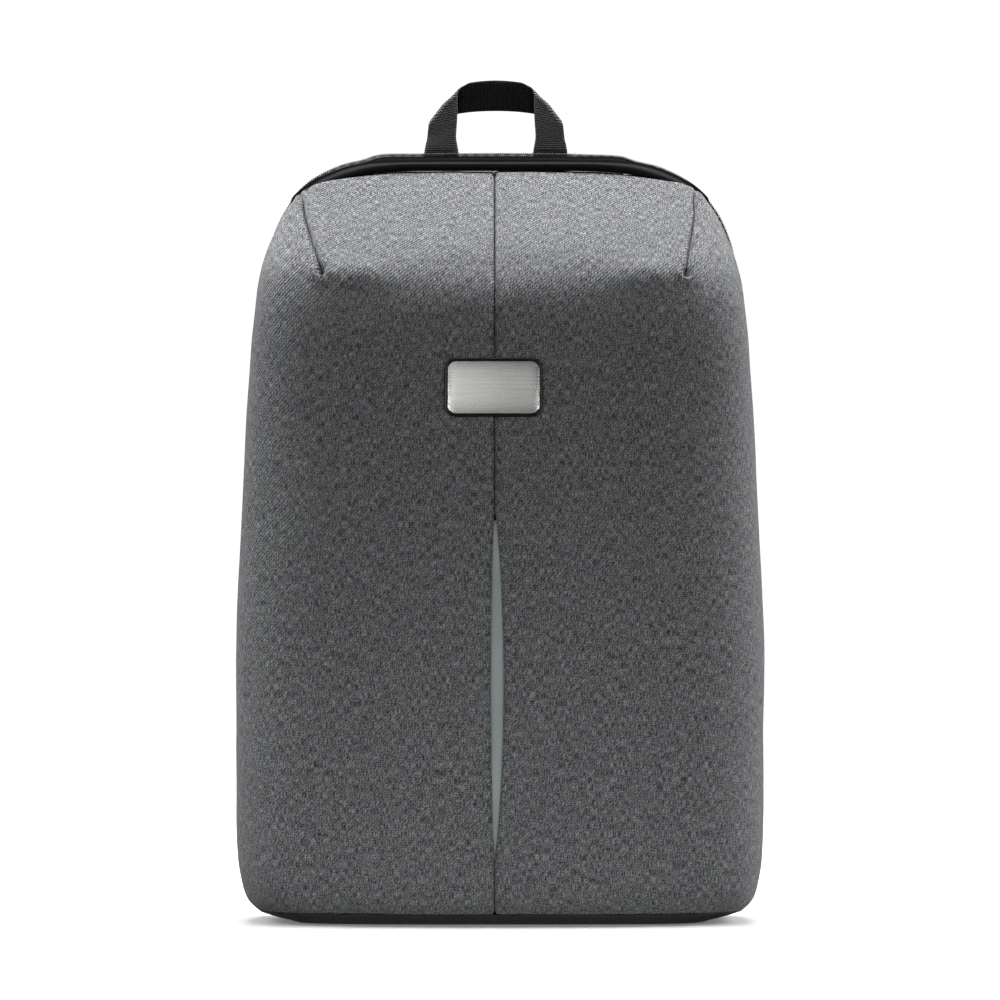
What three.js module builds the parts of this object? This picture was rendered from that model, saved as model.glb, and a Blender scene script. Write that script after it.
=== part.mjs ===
// Anti theft backpack with a folded webbing grab handle, a blank metal plate and a
// reflective slit in the centre seam. Millimetres, +Z up, the front faces -Y, the flat
// base stands on Z = 0.
import * as THREE from "three";

// Sizes of the bag
const bodyWidth = 300;
const bodyHeight = 437;
const seamX = -3;
const gap = 0.3;
const clothWall = 2.4;
const zipY = 30;
const zipWide = 6;
const zipThick = 2.4;
const coilRise = 1.2;
const frontDepth = 103;
const gussetEndY = 60;
const backThick = 10;
const baseThick = 6.2;
const tuckDeep = 2.5;
const tuckLong = 22;

// Sizes of the black band under the zip
const bandHalfSpan = 0.38 * bodyWidth;
const bandDeep = 7;
const bandEnd = 0.886 * bandHalfSpan;
const bandBulge = 0.9;
const bandThick = 1.8;

// Sizes of the darts at the two upper corners
const dartTipX = 0.3467 * bodyWidth;
const dartTipZ = 0.8421 * bodyHeight;
const dartTopX = 0.3733 * bodyWidth;
const dartTopZ = 0.9519 * bodyHeight;
const dartDeep = 1.6;

// Sizes of the slit in the centre seam and the reflective strip behind it
const slitLowZ = 0.0954 * bodyHeight;
const slitHighZ = 0.5323 * bodyHeight;
const slitLeft = 2.0;
const slitRight = 4.9;
const stripWide = 20;
const stripThick = 1;
const stripSpare = 4;

// Sizes of the metal plate and its rim
const plateWide = 52;
const plateTall = 30;
const plateThick = 1.8;
const plateRound = 5;
const rimWall = 1.5;
const rimThick = 2.1;
const plateZ = 0.6943 * bodyHeight;

// Sizes of the grab handle
const handleX = -2.4;
const handleWide = 19;
const handleThick = 1.8;
const legOut = 31.3;
const legY = 42;
const barRise = 34.1;
const foldR = 1.8;
const bendR = 4;
const footLong = 12;
const handleArch = 7;

// Sizes of the shoulder straps and what holds them below
const padThick = 9;
const padWide = 62;
const strapReach = 36.5;
const webWide = 24;
const webThick = 1.6;
const turnR = 3.4;
const adjusterX = 0.5533 * (bodyWidth / 2);
const adjusterZ = 0.270 * bodyHeight;
const adjusterWide = 34;
const barThick = 3.2;
const slotTall = 4.4;
const slotSpare = 0.9;

// Sizes of the zip slider, parked low on the right side
const sliderZ = 0.302 * bodyHeight;
const sliderLong = 13;
const sliderThick = 2;
const pullLong = 20;
const pullThick = 1.1;

// Body sections from the base up: height as a share of bodyHeight, half width as a share
// of half the bodyWidth, how far the front stands before the zip as a share of
// frontDepth, and how square the corner is.
const sections = [
  { up: 0.0149, wide: 0.917, front: 0.893, square: 4.0 },
  { up: 0.0261, wide: 0.951, front: 0.937, square: 4.3 },
  { up: 0.0389, wide: 0.969, front: 0.961, square: 4.5 },
  { up: 0.0572, wide: 0.982, front: 0.979, square: 4.7 },
  { up: 0.0824, wide: 0.994, front: 0.988, square: 4.8 },
  { up: 0.1304, wide: 1.000, front: 0.995, square: 4.8 },
  { up: 0.2517, wide: 1.000, front: 1.000, square: 4.8 },
  { up: 0.3661, wide: 1.000, front: 0.993, square: 4.8 },
  { up: 0.5034, wide: 0.984, front: 0.973, square: 4.8 },
  { up: 0.6293, wide: 0.966, front: 0.944, square: 4.8 },
  { up: 0.7551, wide: 0.944, front: 0.942, square: 4.8 },
  { up: 0.7826, wide: 0.936, front: 0.934, square: 4.8 },
  { up: 0.8101, wide: 0.927, front: 0.915, square: 4.8 },
  { up: 0.8330, wide: 0.918, front: 0.880, square: 4.8 },
  { up: 0.8513, wide: 0.907, front: 0.831, square: 4.8 },
  { up: 0.8673, wide: 0.895, front: 0.764, square: 4.7 },
  { up: 0.8833, wide: 0.881, front: 0.676, square: 4.6 },
  { up: 0.9016, wide: 0.860, front: 0.566, square: 4.4 },
  { up: 0.9199, wide: 0.835, front: 0.449, square: 4.2 },
  { up: 0.9382, wide: 0.800, front: 0.331, square: 4.0 },
  { up: 0.9519, wide: 0.769, front: 0.243, square: 4.0 },
  { up: 0.9634, wide: 0.732, front: 0.167, square: 4.0 },
  { up: 0.9725, wide: 0.689, front: 0.105, square: 4.0 },
  { up: 0.9783, wide: 0.655, front: 0.067, square: 4.0 },
  { up: 0.9863, wide: 0.596, front: 0.031, square: 4.0 },
  { up: 0.9931, wide: 0.513, front: 0.008, square: 4.0 },
  { up: 0.9984, wide: 0.467, front: 0.001, square: 4.0 },
];

// Outer edge of the base: height as a share of baseThick, side and front step inwards
// from the lowest body section in millimetres.
const baseSteps = [
  { up: 0.0, side: 25, front: 20 },
  { up: 0.2, side: 19.5, front: 14 },
  { up: 0.4, side: 13.5, front: 9.5 },
  { up: 0.7, side: 5.5, front: 4 },
  { up: 1.0, side: 0.8, front: 0.6 },
];

// Padded shoulder strap from its sewn top to its lower end: height as a share of
// bodyHeight, distance from the middle as a share of half the bodyWidth, distance from
// the back panel to the strap's middle as a share of strapReach, width as a share of
// padWide, share of padThick.
const strapRows = [
  { up: 0.9634, out: 0.2600, behind: 0.132, wide: 0.903, thick: 0.70 },
  { up: 0.9428, out: 0.2667, behind: 0.148, wide: 0.968, thick: 0.90 },
  { up: 0.9062, out: 0.2833, behind: 0.225, wide: 1.000, thick: 1.00 },
  { up: 0.8604, out: 0.3100, behind: 0.425, wide: 1.000, thick: 1.00 },
  { up: 0.8055, out: 0.3467, behind: 0.685, wide: 1.000, thick: 1.00 },
  { up: 0.7368, out: 0.3933, behind: 0.890, wide: 1.000, thick: 1.00 },
  { up: 0.6590, out: 0.4400, behind: 1.000, wide: 1.000, thick: 1.00 },
  { up: 0.5767, out: 0.4800, behind: 1.000, wide: 0.984, thick: 1.00 },
  { up: 0.4943, out: 0.5100, behind: 0.890, wide: 0.935, thick: 1.00 },
  { up: 0.4211, out: 0.5333, behind: 0.726, wide: 0.839, thick: 0.96 },
  { up: 0.3753, out: 0.5467, behind: 0.589, wide: 0.710, thick: 0.90 },
  { up: 0.3478, out: 0.5520, behind: 0.521, wide: 0.548, thick: 0.80 },
  { up: 0.3364, out: 0.5533, behind: 0.493, wide: 0.435, thick: 0.72 },
];

const halfWidth = bodyWidth / 2;
const backY = gussetEndY + gap;
const backFaceY = backY + backThick;
const shellLowZ = sections[0].up * bodyHeight;
const group = new THREE.Group();

// Materials
function look(colour, roughness, metalness) {
  return () => new THREE.MeshStandardMaterial({ color: colour, roughness, metalness });
}
const melange = look(0x6a6b6d, 0.95, 0);
const blackCloth = look(0x1e1f20, 0.9, 0);
const blackWeb = look(0x2b2c2e, 0.85, 0);
const zipNylon = look(0x17181a, 0.55, 0);
const coatedBlack = look(0x161718, 0.45, 0);
const steel = look(0xa9a9a6, 0.35, 1);
const rimBlack = look(0x121314, 0.5, 0);
const reflector = look(0x8b918f, 0.4, 0.2);
const moulded = look(0x1a1b1c, 0.5, 0);

// Closed shell made from corner triangles, turned outward if it came out inside out
function addSolid(name, points, faces, material) {
  let volume = 0;
  for (const [a, b, c] of faces) volume += points[a].dot(points[b].clone().cross(points[c]));
  const flat = [];
  for (const [a, b, c] of faces) {
    for (const k of volume < 0 ? [a, c, b] : [a, b, c]) {
      flat.push(points[k].x, points[k].y, points[k].z);
    }
  }
  const geometry = new THREE.BufferGeometry();
  geometry.setAttribute("position", new THREE.Float32BufferAttribute(flat, 3));
  geometry.computeVertexNormals();
  addMesh(name, geometry, material);
}

function addMesh(name, geometry, material) {
  const mesh = new THREE.Mesh(geometry, material());
  mesh.name = name;
  group.add(mesh);
}

// Solid cloth from a grid of points: each point is pushed out and in along the normal,
// which "levelAt" can turn square to Y where the cloth ends beside another piece
function addSheet(name, grid, out, inward, material, levelAt = () => 0) {
  const rows = grid.length;
  const columns = grid[0].length;
  const points = [];
  for (const side of [out, -inward]) {
    for (let i = 0; i < rows; i++) {
      for (let j = 0; j < columns; j++) {
        const along = grid[Math.min(i + 1, rows - 1)][j].clone().sub(grid[Math.max(i - 1, 0)][j]);
        const across = grid[i][Math.min(j + 1, columns - 1)].clone()
          .sub(grid[i][Math.max(j - 1, 0)]);
        const normal = along.cross(across);
        normal.y *= 1 - levelAt(i, j);
        normal.normalize();
        points.push(grid[i][j].clone().addScaledVector(normal, side));
      }
    }
  }
  const at = (face, i, j) => (face * rows + i) * columns + j;
  const faces = [];
  const quad = (a, b, c, d) => faces.push([a, b, c], [a, c, d]);
  for (let i = 0; i < rows - 1; i++) {
    for (let j = 0; j < columns - 1; j++) {
      quad(at(0, i, j), at(0, i + 1, j), at(0, i + 1, j + 1), at(0, i, j + 1));
      quad(at(1, i, j), at(1, i, j + 1), at(1, i + 1, j + 1), at(1, i + 1, j));
    }
    const last = columns - 1;
    quad(at(0, i, 0), at(1, i, 0), at(1, i + 1, 0), at(0, i + 1, 0));
    quad(at(0, i, last), at(0, i + 1, last), at(1, i + 1, last), at(1, i, last));
  }
  for (let j = 0; j < columns - 1; j++) {
    const last = rows - 1;
    quad(at(0, 0, j), at(0, 0, j + 1), at(1, 0, j + 1), at(1, 0, j));
    quad(at(0, last, j), at(1, last, j), at(1, last, j + 1), at(0, last, j + 1));
  }
  addSolid(name, points, faces, material);
}

// Solid through closed rings, with a fan on the first and the last ring
function addLoft(name, rings, material) {
  const n = rings[0].length;
  const points = rings.flat();
  const faces = [];
  for (let r = 0; r < rings.length - 1; r++) {
    for (let k = 0; k < n; k++) {
      const a = r * n + k;
      const b = r * n + ((k + 1) % n);
      faces.push([a, b, b + n], [a, b + n, a + n]);
    }
  }
  for (const r of [0, rings.length - 1]) {
    const centre = new THREE.Vector3();
    for (const p of rings[r]) centre.addScaledVector(p, 1 / n);
    points.push(centre);
    for (let k = 0; k < n; k++) {
      const a = r * n + k;
      const b = r * n + ((k + 1) % n);
      faces.push(r === 0 ? [b, a, points.length - 1] : [a, b, points.length - 1]);
    }
  }
  addSolid(name, points, faces, material);
}

function smooth(low, high, value) {
  const t = Math.min(Math.max((value - low) / (high - low), 0), 1);
  return t * t * (3 - 2 * t);
}

// One column of the section table at any height, on a curve through its rows
function column(key, z) {
  const up = Math.min(Math.max(z / bodyHeight, sections[0].up), sections.at(-1).up);
  let k = sections.findIndex((row, i) => i > 0 && row.up >= up) - 1;
  if (k < 0) k = 0;
  const slope = (i) => {
    const a = sections[Math.max(i - 1, 0)];
    const b = sections[Math.min(i + 1, sections.length - 1)];
    return (b[key] - a[key]) / (b.up - a.up);
  };
  const a = sections[k];
  const b = sections[k + 1];
  const h = b.up - a.up;
  const t = (up - a.up) / h;
  const bend = t * t * (3 - 2 * t);
  return a[key] * (1 - bend) + b[key] * bend + slope(k) * h * t * (1 - t) * (1 - t)
    - slope(k + 1) * h * t * t * (1 - t);
}

// Shape of the front half at one height
function sectionAt(z) {
  const share = 1 - smooth(0.789, 0.915, z / bodyHeight);
  return {
    half: column("wide", z) * halfWidth,
    frontY: zipY - column("front", z) * frontDepth,
    square: column("square", z),
    wideY: zipY - tuckLong * share,
    tuck: tuckDeep * share,
  };
}

// Front surface at a place seen from the front
function frontYAt(x, z) {
  const s = sectionAt(z);
  const flat = Math.max(1 - Math.pow(Math.min(Math.abs(x) / s.half, 1), s.square), 0);
  return s.wideY - (s.wideY - s.frontY) * Math.pow(flat, 1 / s.square);
}

// Half of a level section from the seam edge round to the zip, as a fine line
function halfSection(z, side, edgeX) {
  const s = sectionAt(z);
  const line = [new THREE.Vector3(edgeX, frontYAt(edgeX, z), z)];
  const steps = 72;
  for (let k = 0; k <= steps; k++) {
    const angle = (k / steps) * Math.PI / 2;
    const x = side * s.half * Math.pow(Math.sin(angle), 2 / s.square);
    const deep = Math.pow(Math.cos(angle), 2 / s.square);
    if (side * (x - edgeX) > 0.5) {
      line.push(new THREE.Vector3(x, s.wideY - (s.wideY - s.frontY) * deep, z));
    }
  }
  for (let k = 1; k <= 6; k++) {
    const t = k / 6;
    const y = s.wideY + (zipY - gap / 2 - s.wideY) * t;
    if (y > line.at(-1).y) line.push(new THREE.Vector3(side * (s.half - s.tuck * t * t), y, z));
  }
  const lengths = [0];
  for (let k = 1; k < line.length; k++) {
    lengths.push(lengths[k - 1] + line[k].distanceTo(line[k - 1]));
  }
  return { line, lengths };
}

function pointAt({ line, lengths }, share) {
  const want = share * lengths.at(-1);
  let k = 1;
  while (k < lengths.length - 1 && lengths[k] < want) k++;
  const t = (want - lengths[k - 1]) / (lengths[k] - lengths[k - 1]);
  return line[k - 1].clone().lerp(line[k], Math.min(Math.max(t, 0), 1));
}

// Share of a half section at which it reaches a given distance from the middle
function shareAtX({ line, lengths }, out) {
  let k = 1;
  while (k < line.length - 1 && Math.abs(line[k].x) < out) k++;
  const t = (out - Math.abs(line[k - 1].x)) / (Math.abs(line[k].x) - Math.abs(line[k - 1].x));
  return (lengths[k - 1] + Math.min(Math.max(t, 0), 1) * (lengths[k] - lengths[k - 1]))
    / lengths.at(-1);
}

const bandReach = (x) => bandDeep * (1 - Math.pow(Math.abs(x) / bandHalfSpan, 4));

// The slit opens the seam as a long lens
function slitOpen(z, widest) {
  const t = (z - slitLowZ) / (slitHighZ - slitLowZ);
  return t <= 0 || t >= 1 ? 0 : widest * Math.pow(Math.sin(Math.PI * t), 0.7);
}

function seamEdge(z, side) {
  return seamX + side * (gap / 2 + slitOpen(z, side < 0 ? slitLeft : slitRight));
}

// Front panels: grey cloth from the centre seam round the side to the zip
const levelShares = [
  0.0261, 0.0389, 0.0572, 0.0778, 0.0961, 0.1076, 0.1304, 0.1831, 0.2471, 0.3135, 0.3799,
  0.4439, 0.4966, 0.5217, 0.5332, 0.5904, 0.6453, 0.6957, 0.7437, 0.7803, 0.8078, 0.8284,
  0.8444, 0.8604, 0.8764, 0.8924,
];
const levelRows = [shellLowZ, ...levelShares.map((share) => share * bodyHeight)];
const topRows = [0.2, 0.4, 0.6, 0.8, 1];
const columnShares = [0, 0.03, 0.13, 0.25, 0.37, 0.47, 0.55, 0.61, 0.655, 0.68, 0.705, 0.75,
  0.82, 0.9, 1];
const dartColumn = 9;
const dartHigh = 0.94;

function warpedShare(section, z, index) {
  const rise = Math.min(Math.max((z - dartTipZ) / (dartTopZ - dartTipZ), 0), 1);
  const outX = dartTipX * Math.min(sectionAt(z).half / sectionAt(dartTipZ).half, 1);
  const dartX = rise > 0 ? dartTipX + (dartTopX - dartTipX) * rise : outX;
  const dart = Math.min(shareAtX(section, dartX), dartHigh);
  const share = columnShares[index];
  const middle = columnShares[dartColumn];
  return share <= middle ? share * dart / middle
    : dart + (share - middle) * (1 - dart) / (1 - middle);
}

function dartDepth(z) {
  const up = (z - dartTipZ) / (dartTopZ - dartTipZ);
  return dartDeep * smooth(-0.12, 0.06, up) * (1 - 0.6 * smooth(0.5, 1, up));
}

function panelPoint(z, side, index) {
  const section = halfSection(z, side, seamEdge(z, side));
  return pointAt(section, warpedShare(section, z, index));
}

function topHeight(side, index) {
  let low = 0.904 * bodyHeight;
  let high = sections.at(-2).up * bodyHeight;
  for (let k = 0; k < 40; k++) {
    const z = (low + high) / 2;
    const p = panelPoint(z, side, index);
    if (p.y < zipY - gap / 2 - bandReach(p.x)) low = z;
    else high = z;
  }
  return low;
}

function panelGrid(side) {
  const lastLevel = levelRows.at(-1);
  const tops = columnShares.map((_, j) => topHeight(side, j));
  const grid = levelRows.map((z) => columnShares.map((_, j) => panelPoint(z, side, j)));
  for (const t of topRows) {
    grid.push(tops.map((top, j) => panelPoint(lastLevel + (top - lastLevel) * t, side, j)));
  }
  const middle = new THREE.Vector3(0, zipY / 3, bodyHeight / 2);
  for (const row of grid) {
    const p = row[dartColumn];
    const inward = middle.clone().sub(p).normalize();
    inward.z *= 0.3;
    p.addScaledVector(inward.normalize(), dartDepth(p.z));
  }
  return grid;
}

for (const [name, side] of [["front_panel_left", -1], ["front_panel_right", 1]]) {
  const [out, inward] = side < 0 ? [0, clothWall] : [clothWall, 0];
  const lastColumn = columnShares.length - 1;
  addSheet(name, panelGrid(side), out, inward, melange,
    (_, j) => Math.max(j - lastColumn + 2, 0) / 2);
}

// Black band: a padded edging between the top of the front panels and the zip
function topZAt(x, y) {
  let low = 0.870 * bodyHeight;
  let high = sections.at(-1).up * bodyHeight;
  for (let k = 0; k < 40; k++) {
    const z = (low + high) / 2;
    if (sectionAt(z).half > Math.abs(x) && frontYAt(x, z) < y) low = z;
    else high = z;
  }
  return low;
}

const bandGrid = [];
for (const along of [-1, -0.93, -0.84, -0.72, -0.57, -0.4, -0.2, 0, 0.2, 0.4, 0.57, 0.72, 0.84,
  0.93, 1]) {
  const x = along * bandEnd;
  const frontEdge = zipY - bandReach(x) + gap * (0.5 + 2.6 * along * along);
  const backEdge = zipY - 2 * gap;
  bandGrid.push([0, 0.25, 0.5, 0.75, 1].map((t) => {
    const y = frontEdge + (backEdge - frontEdge) * t;
    return new THREE.Vector3(x, y, topZAt(x, y) + bandBulge * Math.sin(Math.PI * t));
  }));
}
addSheet("top_band", bandGrid, 0, bandThick, coatedBlack, (_, j) => Math.max(j - 2, 0) / 2);

// Rim line of the bag seen from the front, from the base up one side, over and down
const rimPoints = [];
for (const row of sections) {
  const z = row.up * bodyHeight;
  rimPoints.push(new THREE.Vector3(row.wide * halfWidth - sectionAt(z).tuck, 0, z));
}
rimPoints.push(new THREE.Vector3(0.3 * halfWidth, 0, bodyHeight));
rimPoints.push(new THREE.Vector3(0, 0, bodyHeight + 0.3));
const rimHalf = new THREE.CatmullRomCurve3(rimPoints, false, "centripetal").getPoints(400);
const rimCurve = new THREE.CatmullRomCurve3(
  [...rimHalf.map((p) => new THREE.Vector3(-p.x, 0, p.z)), ...rimHalf.slice(0, -1).reverse()],
  false, "centripetal");
rimCurve.arcLengthDivisions = 1600;

// Points on the rim line, closer together where it bends at the upper corners
function rimLine(steps) {
  const line = [];
  for (let k = 0; k <= steps; k++) {
    const t = k / steps;
    const even = t + 0.055 * Math.sin(4 * Math.PI * t) * -0.6;
    const p = rimCurve.getPointAt(Math.min(Math.max(even, 0), 1));
    const q = rimCurve.getTangentAt(Math.min(Math.max(even, 0), 1));
    line.push({ p, inward: new THREE.Vector3(q.z, 0, -q.x).normalize() });
  }
  return line;
}

// A strip of cloth that follows the rim line; each row has a place along Y and a step in
function rimStrip(name, steps, rows, thick, material) {
  const grid = rimLine(steps).map(({ p, inward }, k) => rows.map((row) => {
    const q = p.clone().addScaledVector(inward, row.step);
    return new THREE.Vector3(q.x, row.y, k % steps === 0 ? shellLowZ : q.z);
  }));
  addSheet(name, grid, 0, thick, material, () => 1);
}

const zipStartY = zipY + gap / 2;
const zipRows = [
  { y: zipStartY, step: coilRise },
  { y: zipStartY + zipWide * 0.28, step: coilRise * 0.6 },
  { y: zipStartY + zipWide * 0.5, step: 0 },
  { y: zipStartY + zipWide * 0.72, step: coilRise * 0.6 },
  { y: zipStartY + zipWide, step: coilRise },
];
rimStrip("zip_band", 56, zipRows, zipThick, zipNylon);

const gussetStartY = zipStartY + zipWide + gap;
const gussetRows = [
  { y: gussetStartY, step: 2.2 },
  { y: gussetStartY + 6, step: 2.5 },
  { y: gussetStartY + 13, step: 2.8 },
  { y: gussetEndY - 5, step: 3.4 },
  { y: gussetEndY, step: 5 },
];
rimStrip("rear_gusset", 48, gussetRows, clothWall, melange);

// Padded back panel, closed along its lower edge just above the floor
const backRows = [
  { y: 0, step: 5.4 },
  { y: 0.12, step: 4.4 },
  { y: 0.45, step: 4.2 },
  { y: 0.8, step: 6.4 },
  { y: 0.95, step: 9.5 },
  { y: 1, step: 14 },
];
const backRings = backRows.map((row) => {
  const ring = rimLine(44).map(({ p, inward }) => {
    const q = p.clone().addScaledVector(inward, row.step);
    return new THREE.Vector3(q.x, backY + row.y * backThick, q.z);
  });
  const left = ring[0];
  const right = ring.at(-1);
  for (const corner of [left, right]) {
    corner.z = row.step / 2;
    corner.x -= Math.sign(corner.x) * 3;
  }
  for (let k = 1; k < 6; k++) {
    ring.push(right.clone().lerp(left, k / 6));
  }
  return ring;
});
addLoft("back_panel", backRings, blackCloth);

// Stiff base: a shallow black tray shape, flat below
const baseRings = baseSteps.map((row) => {
  const s = sectionAt(shellLowZ);
  const ring = [];
  for (let k = 0; k <= 24; k++) {
    const angle = Math.PI * (k / 24) - Math.PI / 2;
    const x = (s.half - row.side) * Math.sign(Math.sin(angle))
      * Math.pow(Math.abs(Math.sin(angle)), 2 / s.square);
    const y = s.wideY - (s.wideY - s.frontY - row.front)
      * Math.pow(Math.cos(angle), 2 / s.square);
    ring.push(new THREE.Vector3(x, y, row.up * baseThick));
  }
  const inset = row.side * 0.12;
  ring.push(new THREE.Vector3(s.half - row.side - 0.5, gussetEndY * 0.6, row.up * baseThick));
  ring.push(new THREE.Vector3(s.half - row.side - 6, gussetEndY - inset, row.up * baseThick));
  ring.push(new THREE.Vector3(row.side + 6 - s.half, gussetEndY - inset, row.up * baseThick));
  ring.push(new THREE.Vector3(row.side + 0.5 - s.half, gussetEndY * 0.6, row.up * baseThick));
  return ring;
});
addLoft("base_panel", baseRings, blackCloth);

// Reflective strip that lies behind the slit, on the inside of the panels
const stripGrid = [];
for (let k = 0; k <= 16; k++) {
  const z = slitLowZ - stripSpare + (slitHighZ - slitLowZ + 2 * stripSpare) * (k / 16);
  const middle = seamX + (slitRight - slitLeft) / 2;
  stripGrid.push([-0.5, 0, 0.5].map((t) => {
    const y = frontYAt(middle, z) + clothWall + gap + 0.25;
    return new THREE.Vector3(middle + t * stripWide, y, z);
  }));
}
addSheet("reflective_strip", stripGrid, stripThick, 0, reflector);

// Metal plate in its thin black rim
function roundedRect(wide, tall, round) {
  const shape = new THREE.Shape();
  const x = wide / 2;
  const y = tall / 2;
  shape.moveTo(-x + round, -y);
  shape.lineTo(x - round, -y);
  shape.absarc(x - round, -y + round, round, -Math.PI / 2, 0, false);
  shape.lineTo(x, y - round);
  shape.absarc(x - round, y - round, round, 0, Math.PI / 2, false);
  shape.lineTo(-x + round, y);
  shape.absarc(-x + round, y - round, round, Math.PI / 2, Math.PI, false);
  shape.lineTo(-x, -y + round);
  shape.absarc(-x + round, -y + round, round, Math.PI, 1.5 * Math.PI, false);
  return shape;
}

// A flat shape stood upright, its back at a place along Y
function addUpright(name, shape, thick, x, backAt, z, material) {
  const geometry = new THREE.ExtrudeGeometry(shape, {
    depth: thick, bevelEnabled: false, curveSegments: 6,
  });
  geometry.rotateX(Math.PI / 2);
  geometry.translate(x, backAt, z);
  addMesh(name, geometry, material);
}

const plateX = seamX - 0.6;
const plateBackY = Math.min(frontYAt(plateX, plateZ - plateTall / 2),
  frontYAt(plateX, plateZ), frontYAt(plateX, plateZ + plateTall / 2)) - gap;
const rimShape = roundedRect(plateWide + 2 * (gap + rimWall), plateTall + 2 * (gap + rimWall),
  plateRound + gap + rimWall);
rimShape.holes.push(roundedRect(plateWide + 2 * gap, plateTall + 2 * gap, plateRound + gap));
addUpright("plate_rim", rimShape, rimThick, plateX, plateBackY, plateZ, rimBlack);
addUpright("metal_plate", roundedRect(plateWide, plateTall, plateRound), plateThick, plateX,
  plateBackY, plateZ, steel);

// Grab handle: one flat webbing that stands up, folds back at 45 degrees, runs across and
// comes down the same way. "along" is the distance up the leg, "skew" leans the row.
const footZ = bodyHeight - gussetRows[1].step + gap + handleThick / 2 + 0.35;
const foldZ = bodyHeight + barRise - Math.PI * foldR / Math.SQRT2;
const legX = handleX - legOut;

function webPoint(along, w) {
  const start = footZ + bendR;
  if (along < start) {
    const left = start - along;
    const turn = Math.min(left / bendR, Math.PI / 2);
    const flat = Math.max(left - bendR * Math.PI / 2, 0);
    return new THREE.Vector3(legX + w, legY + bendR * (1 - Math.cos(turn)) + flat,
      start - bendR * Math.sin(turn));
  }
  const rise = along - foldZ;
  const before = (rise - w) / Math.SQRT2;
  const beside = (rise + w) / Math.SQRT2;
  const turn = Math.min(Math.max(before / foldR, 0), Math.PI);
  let reach = before;
  if (before > 0) reach = foldR * Math.sin(turn) - Math.max(before - Math.PI * foldR, 0);
  return new THREE.Vector3(legX + (beside - reach) / Math.SQRT2,
    legY + foldR * (1 - Math.cos(turn)), foldZ + (beside + reach) / Math.SQRT2);
}

const foldStart = foldZ;
const foldEnd = foldZ + Math.PI * foldR * Math.SQRT2;
const middleAlong = foldZ + legOut + Math.PI * foldR / Math.SQRT2;
const webRows = [];
const legStart = footZ + bendR;
const bendLong = bendR * Math.PI / 2;
for (const t of [-1, -0.5, 0]) {
  webRows.push({ along: legStart - bendLong + t * footLong, skew: 0 });
}
for (const t of [0.25, 0.5, 0.75, 1]) {
  webRows.push({ along: legStart - bendLong * (1 - t), skew: 0 });
}
for (const t of [0.3, 0.6, 0.85, 1]) {
  webRows.push({ along: legStart + (foldStart - legStart) * t, skew: t * t });
}
for (const t of [0.2, 0.4, 0.6, 0.8, 1]) {
  webRows.push({ along: foldStart + (foldEnd - foldStart) * t, skew: 1 });
}
for (const t of [0.25, 0.5, 0.75, 1]) {
  webRows.push({ along: foldEnd + (middleAlong - foldEnd) * t, skew: 1 - t });
}

const halfHandle = webRows.map((row) => [-0.5, -0.25, 0, 0.25, 0.5].map((t) => {
  const w = t * handleWide;
  const p = webPoint(row.along + row.skew * w, w);
  const out = (p.x - handleX) / 42;
  p.z -= handleArch * out * out * smooth(footZ + 6, footZ + 26, p.z);
  return p;
}));
const otherHandle = halfHandle.slice(0, -1).reverse()
  .map((row) => row.map((p) => new THREE.Vector3(2 * handleX - p.x, p.y, p.z)));
addSheet("grab_handle", [...halfHandle, ...otherHandle], handleThick / 2, handleThick / 2,
  blackWeb);

// Flat web or pad along a line of places; its width stays as level as the line allows
function sweepRows(line, section) {
  return line.map((row, i) => {
    const before = line[Math.max(i - 1, 0)].p;
    const after = line[Math.min(i + 1, line.length - 1)].p;
    const along = after.clone().sub(before).normalize();
    const across = new THREE.Vector3(1, 0, 0).addScaledVector(along, -along.x).normalize();
    const out = along.clone().cross(across);
    return section(row).map(([u, v]) => row.p.clone()
      .addScaledVector(across, u).addScaledVector(out, v));
  });
}

// Rounded section of a pad as pairs across and outwards
function padSection({ wide, thick }) {
  const corners = [[1, 0.25], [0.97, 0.75], [0.9, 1], [0.45, 1], [0, 1]];
  const ring = [];
  for (const [sx, sy] of [[1, 1], [-1, 1], [-1, -1], [1, -1]]) {
    const part = corners.map(([u, v]) => [sx * u * wide / 2, sy * v * thick / 2]);
    if (sx * sy < 0) part.reverse();
    ring.push(...part);
  }
  return ring.filter((p, i) => {
    const q = ring[(i + 1) % ring.length];
    return Math.hypot(p[0] - q[0], p[1] - q[1]) > 0.01;
  });
}

const webSection = () => [[webWide / 2, webThick / 2], [-webWide / 2, webThick / 2],
  [-webWide / 2, -webThick / 2], [webWide / 2, -webThick / 2]];

function strapPlace({ up, out, behind }) {
  return new THREE.Vector3(out * halfWidth, backFaceY + behind * strapReach, up * bodyHeight);
}

// A turn of webbing round a bar, seen from the side, from the front leg to the back leg
function turnLine(barAtZ, sign) {
  const line = [];
  for (let k = 0; k <= 8; k++) {
    const angle = Math.PI * (k / 8);
    line.push({ p: new THREE.Vector3(adjusterX, adjusterY + turnR * Math.cos(angle),
      barAtZ + sign * turnR * Math.sin(angle)) });
  }
  return line;
}

const barStep = barThick + slotTall;
const padEnd = strapRows.at(-1);
const adjusterY = backFaceY + padEnd.behind * strapReach - 0.1 * padThick;
const tabTopZ = padEnd.up * bodyHeight - 6 * gap;
const tabLine = turnLine(adjusterZ + barStep, -1);
tabLine.unshift({ p: new THREE.Vector3(adjusterX, adjusterY + turnR, tabTopZ) });
tabLine.push({ p: new THREE.Vector3(adjusterX, adjusterY - turnR, tabTopZ) });

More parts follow.
